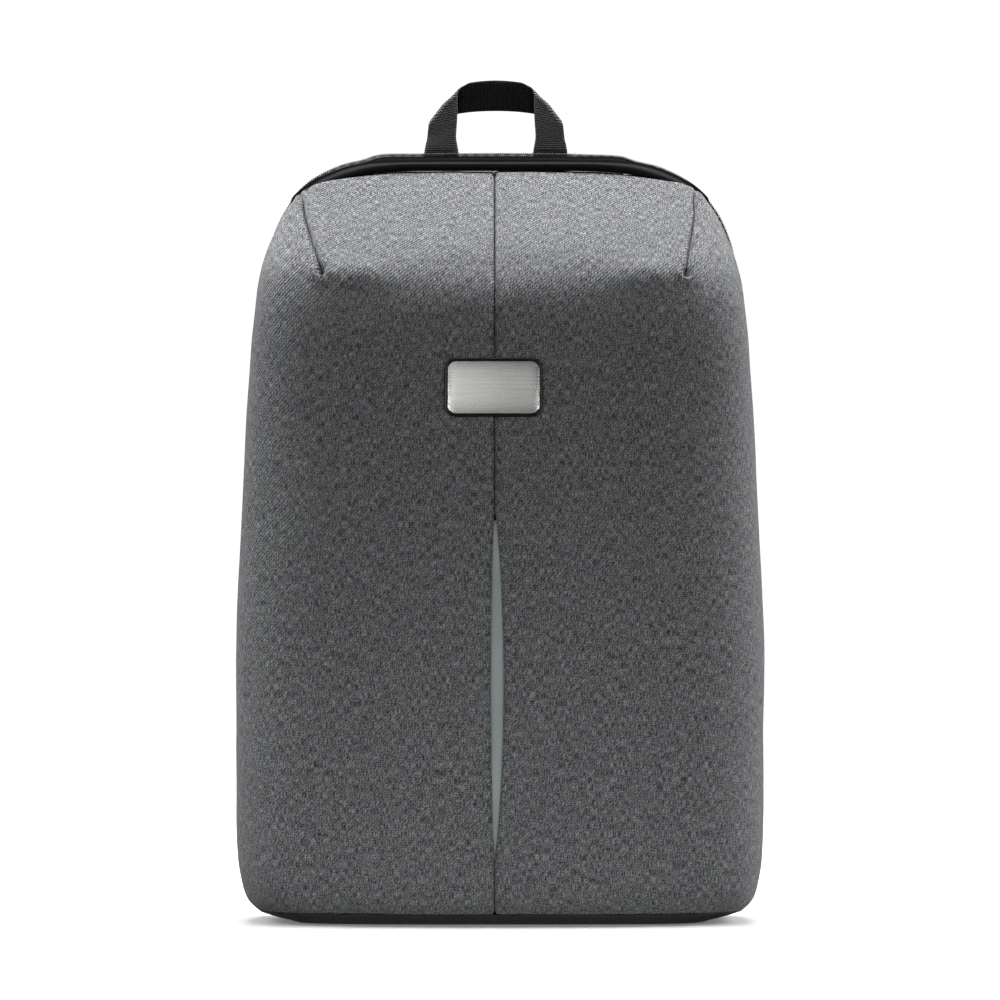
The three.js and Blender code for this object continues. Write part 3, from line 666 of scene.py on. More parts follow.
print("waves at a plain place, mm", round(relief(Vector((60, -70, 200)), 1, 60, 50, 90), 2))

# %% [markdown]
# The rows of a panel are level up to the shoulder. Above it they spread, so that the
# last row is the edge under the band. Every place is then pushed out along its normal
# by the relief, and solidified into a cloth a little over a millimetre thick.

# %% Build both panels
def grid_normals(rows, side):
    """Normals of a grid; where it is folded up, the neighbour's normal stands in."""
    normals = []
    for i, row in enumerate(rows):
        line = []
        for j in range(len(row)):
            across = row[min(j + 1, len(row) - 1)] - row[max(j - 1, 0)]
            along = rows[min(i + 1, len(rows) - 1)][j] - rows[max(i - 1, 0)][j]
            out = across.cross(along) * side
            sure = out.length > 0.25 * across.length * along.length
            line.append(out.normalized() if sure else line[-1])
        normals.append(line)
    return normals


def front_panel(side):
    """Places of a panel, and where each lies on its cloth spread out flat."""
    rows, edges, ends = [], [], []
    for z in heights:
        section, lengths = column_lengths(z, side)
        rows.append([point_at(section, s / section[1][-1]) for s in lengths])
        edges.append(lengths)
        ends.append(section[1][-1])
    tops = [top_height(side, j) for j in range(len(edges[0]))]
    for k in range(1, SLOPING_ROWS + 1):
        cells = [column_lengths(heights[-1] + (top - heights[-1]) * k / SLOPING_ROWS, side)
                 for top in tops]
        rows.append([point_at(section, lengths[j] / section[1][-1])
                     for j, (section, lengths) in enumerate(cells)])
        edges.append([lengths[j] for j, (_, lengths) in enumerate(cells)])
        ends.append(cells[-1][0][1][-1])
    normals = grid_normals(rows, side)
    tip = DARTS[side][-1][1]
    moved, flat = [], []
    for row, edge, end, normal in zip(rows, edges, ends, normals):
        flat.append([(s, p.z + extra_length(p.z, tip, j > DART_INDEX))
                     for j, (p, s) in enumerate(zip(row, edge))])
        moved.append([p + n * relief(p, side, s, s - edge[DART_INDEX], end - s)
                      for p, s, n in zip(row, edge, normal)])
    return moved, flat


panel_places = {}
for word, side in SIDES:
    panel_places[side], flat = front_panel(side)
    panel = finish_piece(cloth_grid(panel_places[side], side, flat), f"panel_{word}",
                         cloth_grey, [f"front_panel_{word}"])
    thicken(panel, 1.2)

# %% [markdown]
# The dart is closed with a seam at the bottom of its valley. A thin round black thread
# is laid along the same column of the panel's grid; its black is partly painted shade
# for the bottom of the valley.

# %% Dart seams
def tube_rings(line, radius, sides=6):
    """Round rings along a line of places."""
    made, side = [], None
    for i, p in enumerate(line):
        along = direction(line, i)
        side = along.orthogonal().normalized() if side is None else side
        side = (side - along * side.dot(along)).normalized()
        up = along.cross(side)
        made.append([p + (side * math.cos(math.tau * k / sides)
                          + up * math.sin(math.tau * k / sides)) * radius for k in range(sides)])
    return made


def rolled(rings, closed_ends=True, flat=None):
    """A closed skin through rings: a grid whose last column meets its first."""
    bm = cloth_grid([list(ring) + [ring[0]] for ring in rings], flat=flat)
    bmesh.ops.remove_doubles(bm, verts=bm.verts, dist=1e-7)
    if closed_ends:
        bmesh.ops.holes_fill(bm, edges=[e for e in bm.edges if e.is_boundary], sides=0)
    return bm


for word, side in SIDES:
    seam = [row[DART_INDEX] + Vector((0, -0.35, 0.35)) for row in panel_places[side]
            if DARTS[side][-1][1] - 1.0 < row[DART_INDEX].z < DART_TOP[side] - 2.5]
    seam = [p for k, p in enumerate(seam) if k % 2 == 0]
    finish_piece(rolled(tube_rings(seam, 0.6)), f"dart_seam_and_shade_{word}", dart_thread_and_shade)

# %% [markdown]
# ## Reflective strip
# The centre seam is left open over about 190 mm, and a flat tape of glass beads lies
# behind it. The tape follows the front from the inside, so it is a narrow grid on the
# same surface, set back by the thickness of the cloth.

# %% Strip behind the slit
def surface_strip(middle, wide, low, high, set_back, rows=60, columns=8):
    places = []
    for i in range(rows + 1):
        z = low + (high - low) * i / rows
        y = front_y(middle, z) + set_back
        places.append([Vector((middle + wide * (j / columns - 0.5), y, z))
                       for j in range(columns + 1)])
    return places


strip_places = surface_strip(SEAM_X + (SLIT_RIGHT - SLIT_LEFT) / 2, 20.0, SLIT_LOW - 4,
                             SLIT_HIGH - 4, 3.0)
strip = finish_piece(cloth_grid(strip_places), "reflective_tape_strip", reflector,
                     ["reflective_strip"])
thicken(strip, 0.5, offset=1.0)

# %% [markdown]
# ## Black band
# A coated edging covers the upper end of the panels and the zip's front tape. It grows
# deeper towards the corners and runs out past the darts. It is a grid between two
# curves, crowned along its middle because it is folded over a cord.

# %% Band between the panels and the zip
def top_z(x, y):
    """The height at which the plain form has the place x, y."""
    low, high = 0.870 * BODY_HEIGHT, SECTIONS[-1][0] * BODY_HEIGHT
    for _ in range(HALVINGS):
        z = (low + high) / 2
        inside = section_at(z)[0] > abs(x) and front_y(x, z) < y
        low, high = (z, high) if inside else (low, z)
    return low


def band_edges(x):
    """The places of the band's front and rear edges."""
    low_y, rear_y = ZIP_Y - band_reach(x) - 1.0, ZIP_Y - 0.5
    sunk = 0.7 - 2.4 * smooth(70, 110, abs(x))
    front = Vector((x, low_y, top_z(x, low_y) + sunk))
    return front, Vector((x, rear_y, top_z(x, rear_y) - 0.2))


def band_row(share):
    x = share * (BAND_HALF - 1.5)
    front, rear = band_edges(x)
    along = band_edges(x + 0.8)[1] - band_edges(x - 0.8)[1]
    out = along.cross(rear - front).normalized()
    crown = 0.3 + 1.7 * min(band_reach(x) / BAND_DEEP, 1.0)
    return [front.lerp(rear, k / 12) + out * crown * math.sin(math.pi * k / 12) ** 0.6
            for k in range(13)]


BAND_ROWS = 90  # rows from the middle to each end
band_places = [band_row(k / BAND_ROWS - 1) for k in range(2 * BAND_ROWS + 1)]
band = finish_piece(cloth_grid(band_places), "coated_band", coated, ["top_band"])
thicken(band, 1.2)

# %% [markdown]
# ## Rim line
# The zip, the gusset and the back panel all follow the outline of the bag seen from
# the front. One curve through the table's rows gives that line, and every strip is a
# grid with a place along Y and a step inwards for each of its columns.

# %% A smooth curve through points, and the rim
def smooth_curve(points, steps):
    """Centripetal Catmull-Rom curve through points, sampled between each two."""
    ends = [points[0] * 2 - points[1]] + points + [points[-1] * 2 - points[-2]]
    line = []
    for a, b, c, d in zip(ends, ends[1:], ends[2:], ends[3:]):
        knots = [0.0]
        for p, q in ((a, b), (b, c), (c, d)):
            knots.append(knots[-1] + max((q - p).length, 1e-6) ** 0.5)
        for k in range(steps):
            t = knots[1] + (knots[2] - knots[1]) * k / steps
            ab, bc, cd = [p.lerp(q, (t - t0) / (t1 - t0)) for p, q, t0, t1 in (
                (a, b, knots[0], knots[1]), (b, c, knots[1], knots[2]), (c, d, knots[2], knots[3]))]
            left = ab.lerp(bc, (t - knots[0]) / (knots[2] - knots[0]))
            right = bc.lerp(cd, (t - knots[1]) / (knots[3] - knots[1]))
            line.append(left.lerp(right, (t - knots[1]) / (knots[2] - knots[1])))
    return line + [points[-1].copy()]


def resample(line, count):
    """The same line with evenly spaced points."""
    lengths = running_lengths(line)
    made = [place_along(line, lengths, lengths[-1] * i / count) for i in range(count + 1)]
    return made, lengths[-1]


rim_half = [Vector((row[1] * BODY_WIDTH / 2 - section_at(row[0] * BODY_HEIGHT)[4], 0,
                    row[0] * BODY_HEIGHT)) for row in SECTIONS]
TOP_FLAT = 0.3  # share of the half width at which the top is level
rim_half += [Vector((TOP_FLAT * BODY_WIDTH / 2, 0, BODY_HEIGHT)),
             Vector((0, 0, BODY_HEIGHT + 0.3))]
half_line = smooth_curve(rim_half, 14)
whole_line = [Vector((-p.x, 0, p.z)) for p in half_line] + half_line[-2::-1]


def rim_line(count):
    """Places of the rim with their directions inwards and along, and its length."""
    line, length = resample(whole_line, count)
    made = []
    for i, p in enumerate(line):
        along = direction(line, i)
        made.append((p, Vector((along.z, 0, -along.x)), along))
    return made, length


def rim_strip(rows, count):
    """Places of a strip along the rim; each row gives a place along Y and a step inwards."""
    low = SECTIONS[0][0] * BODY_HEIGHT
    made = []
    for k, (p, inward, _) in enumerate(rim_line(count)[0]):
        row = []
        for y, step in rows:
            q = p + inward * step
            row.append(Vector((q.x, y, low if k in (0, count) else q.z)))
        made.append(row)
    return made


print("rim length mm", round(rim_line(10)[1]))

# %% [markdown]
# ## Zip
# A coil zip has two spirals of nylon wire sewn to woven tape. The spirals mesh, so the
# row of teeth shows as small slanted bars. Each spiral is a thin tube round an oval
# path. It stands taller where the front view looks over the band at it: on the top
# and, a little less, on the right shoulder.

# %% Tape and teeth
ZIP_START, ZIP_WIDE = ZIP_Y + GAP / 2, 6.0
ZIP_MIDDLE = ZIP_START + ZIP_WIDE / 2
TOP_FROM, TOP_TO = 398, 432  # heights in mm between which the rim turns onto the top
tape_rows = [  # place along Y, step inwards
    (ZIP_START - 0.4, 3.3), (ZIP_START + 0.2, 2.0), (ZIP_START + 1.4, 1.0), (ZIP_MIDDLE, 0.7),
    (ZIP_START + 4.4, 1.0), (ZIP_START + 5.6, 1.35), (ZIP_START + ZIP_WIDE, 1.7),
]
tape_places = rim_strip(tape_rows, 300)
for row in tape_places:
    for p in row[2:5]:
        p.z += smooth(TOP_FROM, TOP_TO, p.z)
tape = finish_piece(cloth_grid(tape_places), "zip_tape", tape_black,
                    ["zip_band"])
thicken(tape, 0.7)
TOOTH_PITCH, TOOTH_STEPS = 1.3, 8
COIL_LOW = 6.9  # mm; the lowest place of the coil, above the base


def tooth_spiral(side):
    turns = int(rim_line(10)[1] / TOOTH_PITCH)
    rim, _ = rim_line(turns * TOOTH_STEPS)
    line = []
    for k, (p, inward, _) in enumerate(rim):
        angle = math.tau * k / TOOTH_STEPS
        y = ZIP_MIDDLE + side * (0.78 + 1.05 * math.cos(angle))
        on_shoulder = 0.6 * smooth(335, 365, p.z) * (p.x > 0)
        tall = max(smooth(TOP_FROM, TOP_TO, p.z), on_shoulder)
        top_right = smooth(30, 75, p.x) * smooth(400, 425, p.z)
        step = 0.15 - 1.1 * tall * (1 - 0.8 * top_right) - (0.42 + 0.55 * tall) * math.sin(angle)
        q = p + inward * step
        line.append(Vector((q.x, y, max(q.z, COIL_LOW))))
    return line


for word, side in (("front", -1), ("rear", 1)):
    finish_piece(rolled(tube_rings(tooth_spiral(side), 0.36, 4)), f"zip_coil_{word}",
                 nylon)

# %% [markdown]
# ## Rear gusset
# Behind the zip a plain strip of the same grey cloth closes the bag. It is one more
# strip along the rim.

# %% Gusset
gusset_start = ZIP_START + ZIP_WIDE + GAP
gusset_rows = [  # place along Y, step inwards
    (gusset_start, 2.9), (gusset_start + 0.7, 2.3), (gusset_start + 3, 2.1),
    (gusset_start + 8, 2.2), (gusset_start + 14, 2.7), (54.0, 3.3), (57.5, 4.0), (59.5, 5.0),
]
gusset = finish_piece(cloth_grid(rim_strip(gusset_rows, 260)), "gusset_cloth", cloth_grey,
                      ["rear_gusset"])
thicken(gusset, 1.6)

# %% [markdown]
# ## Base tray
# A stiff black tray keeps the bag upright. It is a skin through rounded rings that grow
# from a flat sole. The front half of a ring follows the body, the rear is nearly
# straight.

# %% Base tray
BASE_THICK, GUSSET_END = 6.2, 60.0
BASE_STEPS = [  # share of the height, step in at the sides, step in at the front
    (0.0, 25.0, 20.0), (0.0, 22.0, 16.5), (0.06, 20.2, 14.6), (0.2, 17.5, 12.6),
    (0.4, 12.5, 9.2), (0.6, 7.8, 5.9), (0.8, 4.0, 3.0), (0.93, 1.8, 1.2), (1.0, 0.8, 0.6),
]


def base_ring(share, side, front):
    half, front_at, square, wide_y, _ = section_at(SECTIONS[0][0] * BODY_HEIGHT)
    ring = []
    for k in range(61):
        angle = math.pi * k / 60 - math.pi / 2
        sine = math.sin(angle)
        x = (half - side) * math.copysign(abs(sine) ** (2 / square), sine)
        y = wide_y - (wide_y - front_at - front) * max(math.cos(angle), 0) ** (2 / square)
        ring.append(Vector((x, y, share * BASE_THICK)))
    inset = side * 0.12
    for x, y in ((half - side - 0.5, GUSSET_END * 0.6), (half - side - 6, GUSSET_END - inset),
                 (side + 6 - half, GUSSET_END - inset), (side + 0.5 - half, GUSSET_END * 0.6)):
        ring.append(Vector((x, y, share * BASE_THICK)))
    return ring


finish_piece(rolled([base_ring(*row) for row in BASE_STEPS]), "base_tray", cloth_black,
             ["base_panel"])

# %% [markdown]
# ## Metal plate
# A blank steel plate sits in a thin black rim. The plate starts as a block whose four
# corners are rounded with a bevel. A second small bevel breaks the front edge so that
# it catches the light, and cuts across it let the face be crowned a little. The rim is
# a skin through rounded rectangles.

# %% Plate and rim
PLATE_X, PLATE_Z = SEAM_X - 0.6, 0.6943 * BODY_HEIGHT
PLATE_WIDE, PLATE_TALL, PLATE_ROUND = 52.0, 30.0, 5.0
plate_back = min(front_y(PLATE_X, PLATE_Z + d * PLATE_TALL / 2) for d in (-1, 0, 1)) - GAP


def bevel_edges(bm, edges, width, segments):
    bmesh.ops.bevel(bm, geom=edges, offset=width * MM, offset_type="OFFSET", segments=segments,
                    affect="EDGES", profile=0.5, material=-1)


def rounded_block(wide, thick, tall, round_corner):
    """A block standing in the XZ plane, the four corners of its face rounded."""
    bm = bmesh.new()
    bmesh.ops.create_cube(bm, size=1.0)
    bmesh.ops.scale(bm, vec=Vector((wide, thick, tall)) * MM, verts=bm.verts)
    across = [e for e in bm.edges if abs((e.verts[0].co - e.verts[1].co).y) > 0.9 * thick * MM]
    bevel_edges(bm, across, round_corner, 10)
    return bm


def front_edges(bm):
    low = min(v.co.y for v in bm.verts)
    return [e for e in bm.edges if all(abs(v.co.y - low) < 1e-6 for v in e.verts)]


PLATE_CROWN = 0.5  # mm by which the ends of the face lie behind its middle
bm = rounded_block(PLATE_WIDE, 1.8, PLATE_TALL, PLATE_ROUND)
bevel_edges(bm, front_edges(bm), 0.45, 3)
slices = [(Vector((x * MM, 0, 0)), Vector((1, 0, 0))) for x in range(-24, 26, 3)]
for place, across in slices:
    bmesh.ops.bisect_plane(bm, geom=bm.verts[:] + bm.edges[:] + bm.faces[:], plane_co=place,
                           plane_no=across)
for vert in bm.verts:
    if vert.co.y < 0:
        vert.co.y += PLATE_CROWN * MM * (vert.co.x / (PLATE_WIDE / 2 * MM)) ** 2
bmesh.ops.translate(bm, vec=Vector((PLATE_X, plate_back - 1.2, PLATE_Z)) * MM, verts=bm.verts)
finish_piece(bm, "blank_plate", steel, ["metal_plate"])


def rim_section_ring(wide, tall, corner, y):
    """Rounded rectangle as a closed line of places at one depth."""
    ring = []
    for cx, cz, start in ((1, 1, 0), (-1, 1, 90), (-1, -1, 180), (1, -1, 270)):
        for k in range(13):
            angle = math.radians(start + 90 * k / 12)
            ring.append(Vector((PLATE_X + cx * (wide / 2 - corner) + corner * math.cos(angle), y,
                                PLATE_Z + cz * (tall / 2 - corner) + corner * math.sin(angle))))
    return ring


RIM_SECTION = [  # step out from the plate, place before its back
    (0.25, 0.0), (0.3, -1.7), (0.55, -2.0), (0.95, -2.1), (1.4, -2.0), (1.7, -1.7),
    (1.8, -1.2), (1.8, 0.0), (0.25, 0.0),
]
rim_rings = []
for out, deep in RIM_SECTION:
    rim_rings.append(rim_section_ring(PLATE_WIDE + 2 * out, PLATE_TALL + 2 * out,
                                      PLATE_ROUND + out, plate_back + deep))
finish_piece(rolled(rim_rings, closed_ends=False), "plate_rim_ring", rim_black,
             ["plate_rim"])

# %% [markdown]
# ## Grab handle
# One flat webbing stands up, folds back at 45 degrees, runs across and comes down the
# same way. The fold turns its other face outward on the bar, and that face is given a
# much darker copy of the webbing: painted shade on the bar. The webbing is followed by
# its length and width, and the fold is a half turn round a line at 45 degrees.

# %% Follow the webbing
HANDLE_X, HANDLE_WIDE, LEG_OUT, LEG_Y = -2.4, 19.0, 31.3, 42.0
BAR_RISE, FOLD_R, BEND_R, FOOT_LONG = 35.7, 1.8, 4.0, 12.0
FOOT_Z = BODY_HEIGHT - 2.5 + GAP + 0.9 + 0.35
FOLD_Z = BODY_HEIGHT + BAR_RISE - math.pi * FOLD_R / math.sqrt(2)
LEG_START = FOOT_Z + BEND_R
FOLD_END = FOLD_Z + math.pi * FOLD_R * math.sqrt(2)
MIDDLE_ALONG = FOLD_Z + LEG_OUT + math.pi * FOLD_R / math.sqrt(2)


def web_point(along, w):
    """The place of the webbing at a distance along it and w mm from its middle."""
    narrow = 1.05 - 0.17 * smooth(FOOT_Z + 2, FOOT_Z + 15, along) \
        + 0.05 * smooth(FOLD_END, MIDDLE_ALONG, along)
    w *= narrow
    leg_x = HANDLE_X - LEG_OUT
    if along < LEG_START:
        left = LEG_START - along
        turn = min(left / BEND_R, math.pi / 2)
        flat = max(left - BEND_R * math.pi / 2, 0)
        return Vector((leg_x + w, LEG_Y + BEND_R * (1 - math.cos(turn)) + flat,
                       LEG_START - BEND_R * math.sin(turn)))
    rise = along - FOLD_Z
    before, beside = (rise - w) / math.sqrt(2), (rise + w) / math.sqrt(2)
    turn = min(max(before / FOLD_R, 0), math.pi)
    reach = before
    if before > 0:
        reach = FOLD_R * math.sin(turn) - max(before - math.pi * FOLD_R, 0)
    p = Vector((leg_x + (beside - reach) / math.sqrt(2), LEG_Y + FOLD_R * (1 - math.cos(turn)),
                FOLD_Z + (beside + reach) / math.sqrt(2)))
    # The bar bows up in the middle, the legs lean in a little and the corners hang down.
    out = (p.x - HANDLE_X) / 42
    p.z -= 7 * out * out * smooth(FOOT_Z + 6, FOOT_Z + 26, p.z)
    p.x = HANDLE_X + (p.x - HANDLE_X) * (1 - 0.04 * smooth(445, 464, p.z))
    p.z -= 2.3 * smooth(14, 23, abs(p.x - HANDLE_X)) * smooth(466, 476, p.z)
    return p


print("half the webbing of the handle, mm", round(MIDDLE_ALONG - FOOT_Z + FOOT_LONG))

# %% [markdown]
# The rows of the webbing stand closer than its ribs, so the ribs are real relief. They
# lean by degrees into the fold. The half handle is mirrored for the other leg.

# %% Rows of the half handle, with the ribs of the weave
HANDLE_STEP = 0.23  # mm between rows, about a sixth of a rib
HALF_THICK, RIB_HIGH = 0.62, 0.19


def handle_rows():
    """Distance along the webbing and lean of each row, from the sewn end to the middle."""
    rows = []
    start = LEG_START - BEND_R * math.pi / 2 - FOOT_LONG
    spans = [(start, LEG_START, 0, 0), (LEG_START, FOLD_Z, 0, 1), (FOLD_Z, FOLD_END, 1, 1),
             (FOLD_END, MIDDLE_ALONG, 1, 0)]
    for a, b, lean_a, lean_b in spans:
        count = max(int((b - a) / HANDLE_STEP), 4)
        for k in range(count):
            t = k / count
            turned = t * t if lean_b > lean_a else t
            rows.append((a + (b - a) * t, lean_a + (lean_b - lean_a) * turned))
    return rows + [(MIDDLE_ALONG, 0.0)]


def handle_ring(along, lean, other_side):
    """Closed thin section of the webbing at one row."""
    columns = 16
    front, back = [], []
    for k in range(columns + 1):
        w = (k / columns - 0.5) * HANDLE_WIDE
        here = along + lean * w
        p = web_point(here, w)
        du = web_point(here + 0.05, w) - web_point(here - 0.05, w)
        dw = web_point(here, w + 0.05) - web_point(here, w - 0.05)
        normal = du.cross(dw).normalized()
        rib = RIB_HIGH * math.cos(math.tau * here / RIB)
        edge = 1 - 0.55 * (abs(k / columns - 0.5) * 2) ** 8
        front.append((p - normal * (HALF_THICK * edge + rib * edge), w, here))
        back.append((p + normal * (HALF_THICK * edge - rib * edge), w, here))
    ring = front + back[::-1]
    if other_side:
        ring = [(Vector((2 * HANDLE_X - p.x, p.y, p.z)), w, 2 * MIDDLE_ALONG - here)
                for p, w, here in ring]
    return ring


half_rings = [handle_ring(along, lean, False) for along, lean in handle_rows()]
other_rings = [handle_ring(along, lean, True) for along, lean in handle_rows()[-2::-1]]
handle_rings = half_rings + other_rings
EDGE_WIDE = 1.2  # mm of the map that go round an edge of the webbing
TURN_OVER = HANDLE_WIDE + EDGE_WIDE
handle_flat = []
for ring in handle_rings:
    half = len(ring) // 2
    row = [(w + HANDLE_WIDE / 2, here) for _, w, here in ring[:half]]
    row += [(TURN_OVER + HANDLE_WIDE / 2 - w, here) for _, w, here in ring[half:]]
    handle_flat.append(row + [(2 * TURN_OVER, ring[0][2])])
bm = rolled([[p for p, _, _ in ring] for ring in handle_rings], flat=handle_flat)
print("handle rows", len(handle_rings))
uv_layer = bm.loops.layers.uv["cloth"]
for face in bm.faces:
    middle = sum(loop[uv_layer].uv.x for loop in face.loops) / len(face.loops)
    face.material_index = int(middle > (TURN_OVER - EDGE_WIDE / 2) * MM)
handle = finish_piece(bm, "grab_handle_web", web_black, ["grab_handle"])
# The reverse faces take the darker copy: painted shade on the bar.
handle.data.materials.append(web_reverse_painted_shade)

# %% [markdown]
# ## Filled pads
# Foam under sewn cloth swells between its seams. The pads behind are blown up a little
# as cloth, with their bound edges held, then smoothed. Their pattern is laid on flat
# from behind, because new even cells keep no map.

# %% Cloth simulation of a pad
FILL_STEPS = 20


def apply_all(piece):
    shape = piece.evaluated_get(bpy.context.evaluated_depsgraph_get())
    mesh = bpy.data.meshes.new_from_object(shape)
    mesh.name = piece.name
    piece.modifiers.clear()
    piece.data = mesh


def flat_map(piece):
    """A UV map in metres laid on from behind."""
    layer = piece.data.uv_layers.get("cloth") or piece.data.uv_layers.new(name="cloth")
    for loop in piece.data.loops:
        co = piece.data.vertices[loop.vertex_index].co
        layer.data[loop.index].uv = (co.x, co.z + 0.6 * co.y)


def fill_pad(piece, cell, pressure, most, held):
    """Swell a closed pad. Cell 0 keeps its own grid, most is the farthest move in mm
    and held tells which places stay fixed."""
    if cell:
        grid = piece.modifiers.new("even_cells", "REMESH")
        grid.mode, grid.voxel_size = "VOXEL", cell * MM
        apply_all(piece)
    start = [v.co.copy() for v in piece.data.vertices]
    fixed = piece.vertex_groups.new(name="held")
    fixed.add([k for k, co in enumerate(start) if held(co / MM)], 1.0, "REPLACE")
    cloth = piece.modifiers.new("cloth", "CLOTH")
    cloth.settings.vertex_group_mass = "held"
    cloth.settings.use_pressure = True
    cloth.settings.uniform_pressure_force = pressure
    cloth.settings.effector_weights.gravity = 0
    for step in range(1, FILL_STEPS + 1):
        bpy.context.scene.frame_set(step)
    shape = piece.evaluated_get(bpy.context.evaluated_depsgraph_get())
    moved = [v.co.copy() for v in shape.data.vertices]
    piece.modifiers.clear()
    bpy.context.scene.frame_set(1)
    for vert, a, b in zip(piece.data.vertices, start, moved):
        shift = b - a
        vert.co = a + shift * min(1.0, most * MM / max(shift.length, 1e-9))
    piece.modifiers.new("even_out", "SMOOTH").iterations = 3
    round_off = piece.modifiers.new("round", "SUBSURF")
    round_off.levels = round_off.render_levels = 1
    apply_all(piece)
    print(piece.name, "filled, moved by mm",
          round(max((b - a).length for a, b in zip(start, moved)) / MM, 1))
    flat_map(piece)
    for polygon in piece.data.polygons:
        polygon.use_smooth = True


def tree_of(places):
    """A tree that finds the nearest of some places."""
    tree = kdtree.KDTree(len(places))
    for k, place in enumerate(places):
        tree.insert(place, k)
    tree.balance()
    return tree


def press_seam(piece, line, deep, wide):
    """Press a sewn seam into the rear face along a line of places in mm."""
    tree = tree_of([(p.x, 0, p.z) for p in line])
    for vert in piece.data.vertices:
        gap = tree.find((vert.co.x / MM, 0, vert.co.z / MM))[2]
        faces_rear = vert.normal.y > 0.2
        if faces_rear and gap < 3 * wide:
            vert.co.y -= hump(deep, gap, wide) * MM


# %% [markdown]
# ## Shoulder straps
# The padded straps hang from the top of the back panel. Their lower ends hold a loop
# of webbing, an adjuster with two slots, and a second webbing sewn to the bag's side.
# Each is a thin section carried along a line of places.

# %% Shoulder straps and their webbing
BACK_FACE_Y, STRAP_REACH, PAD_WIDE, PAD_THICK = 70.3, 36.5, 62.0, 9.0
WEB_WIDE, WEB_THICK, TURN_R = 24.0, 1.6, 3.4
ADJUSTER_X, ADJUSTER_Z, BAR_THICK, SLOT_TALL = 83.0, 0.27 * BODY_HEIGHT, 3.2, 4.4
UNFILLED = 0.72  # a pad's thickness before it is filled, as a share
PAD_POINTS = 40  # points round the section; the first and the middle one are its edges
EDGE_HELD, SEAM_IN = 5.0, 0.11  # mm held by the binding; share of the width to the seam
STRAP_ROWS = [  # up, out, behind, wide, thick
    (0.9634, 0.2600, 0.132, 0.903, 0.70), (0.9428, 0.2667, 0.148, 0.968, 0.90),
    (0.9062, 0.2833, 0.225, 1.000, 1.00), (0.8604, 0.3100, 0.425, 1.000, 1.00),
    (0.8055, 0.3467, 0.685, 1.000, 1.00), (0.7368, 0.3933, 0.890, 1.000, 1.00),
    (0.6590, 0.4400, 1.000, 1.000, 1.00), (0.5767, 0.4800, 1.000, 0.984, 1.00),
    (0.4943, 0.5100, 0.890, 0.935, 1.00), (0.4211, 0.5333, 0.726, 0.839, 0.96),
    (0.3753, 0.5467, 0.589, 0.710, 0.90), (0.3478, 0.5520, 0.521, 0.548, 0.80),
    (0.3364, 0.5533, 0.493, 0.435, 0.72),
]  # shares of the body's height, its half width, and the reach, width and thickness


def strap_place(up, out, behind):
    return Vector((out * BODY_WIDTH / 2, BACK_FACE_Y + behind * STRAP_REACH, up * BODY_HEIGHT))


def swept(line, sections):
    """Rings of a section (pairs across and outwards, mm) at each place of a line."""
    rings = []
    for i, p in enumerate(line):
        along = direction(line, i)
        across = (Vector((1, 0, 0)) - along * along.x).normalized()
        out = along.cross(across)
        rings.append([p + across * u + out * v for u, v in sections[i]])
    return rings


def mirrored(line, side):
    return [Vector((side * p.x, p.y, p.z)) for p in line]


def pad_section(wide, thick):
    """Crowned section of a pad before it is filled, with a narrow bound edge."""
    thick = thick * UNFILLED
    ring = []
    for k in range(PAD_POINTS):
        angle = math.tau * k / PAD_POINTS
        c, s = math.cos(angle), math.sin(angle)
        u = math.copysign(abs(c) ** 0.55, c)
        ring.append((u * wide / 2, math.copysign(abs(s) ** 0.7, s) * thick / 2))
    return ring


def web_section():
    flat = [(0.5 - k / 10) * (WEB_WIDE - 0.6) for k in range(11)]
    front = [(u, WEB_THICK / 2) for u in flat] + [(-WEB_WIDE / 2, 0.0)]
    return front + [(u, -WEB_THICK / 2) for u in flat[::-1]] + [(WEB_WIDE / 2, 0.0)]


ADJUSTER_Y = BACK_FACE_Y + STRAP_ROWS[-1][2] * STRAP_REACH - 0.1 * PAD_THICK
BAR_STEP = BAR_THICK + SLOT_TALL


def turn_line(bar_z, sign, steps=16):
    return [Vector((ADJUSTER_X, ADJUSTER_Y + TURN_R * math.cos(math.pi * k / steps),
                    bar_z + sign * TURN_R * math.sin(math.pi * k / steps)))
            for k in range(steps + 1)]


tab_top = STRAP_ROWS[-1][0] * BODY_HEIGHT - 6 * GAP
tab_line = [Vector((ADJUSTER_X, ADJUSTER_Y + TURN_R, tab_top))] \
    + turn_line(ADJUSTER_Z + BAR_STEP, -1) + [Vector((ADJUSTER_X, ADJUSTER_Y - TURN_R, tab_top))]
low_line = [strap_place(*row) for row in ((0.1327, 0.5567, 0.5534), (0.1922, 0.5533, 0.5808))]
low_line += turn_line(ADJUSTER_Z - BAR_STEP, 1)
low_line += [strap_place(*row) for row in (
    (0.2105, 0.5633, 0.3342), (0.1693, 0.5867, 0.2082), (0.1327, 0.6100, 0.0877),
    (0.1098, 0.6233, 0.0411), (0.0595, 0.6467, 0.0342))]
low_line = resample(smooth_curve(low_line, 8), 90)[0]

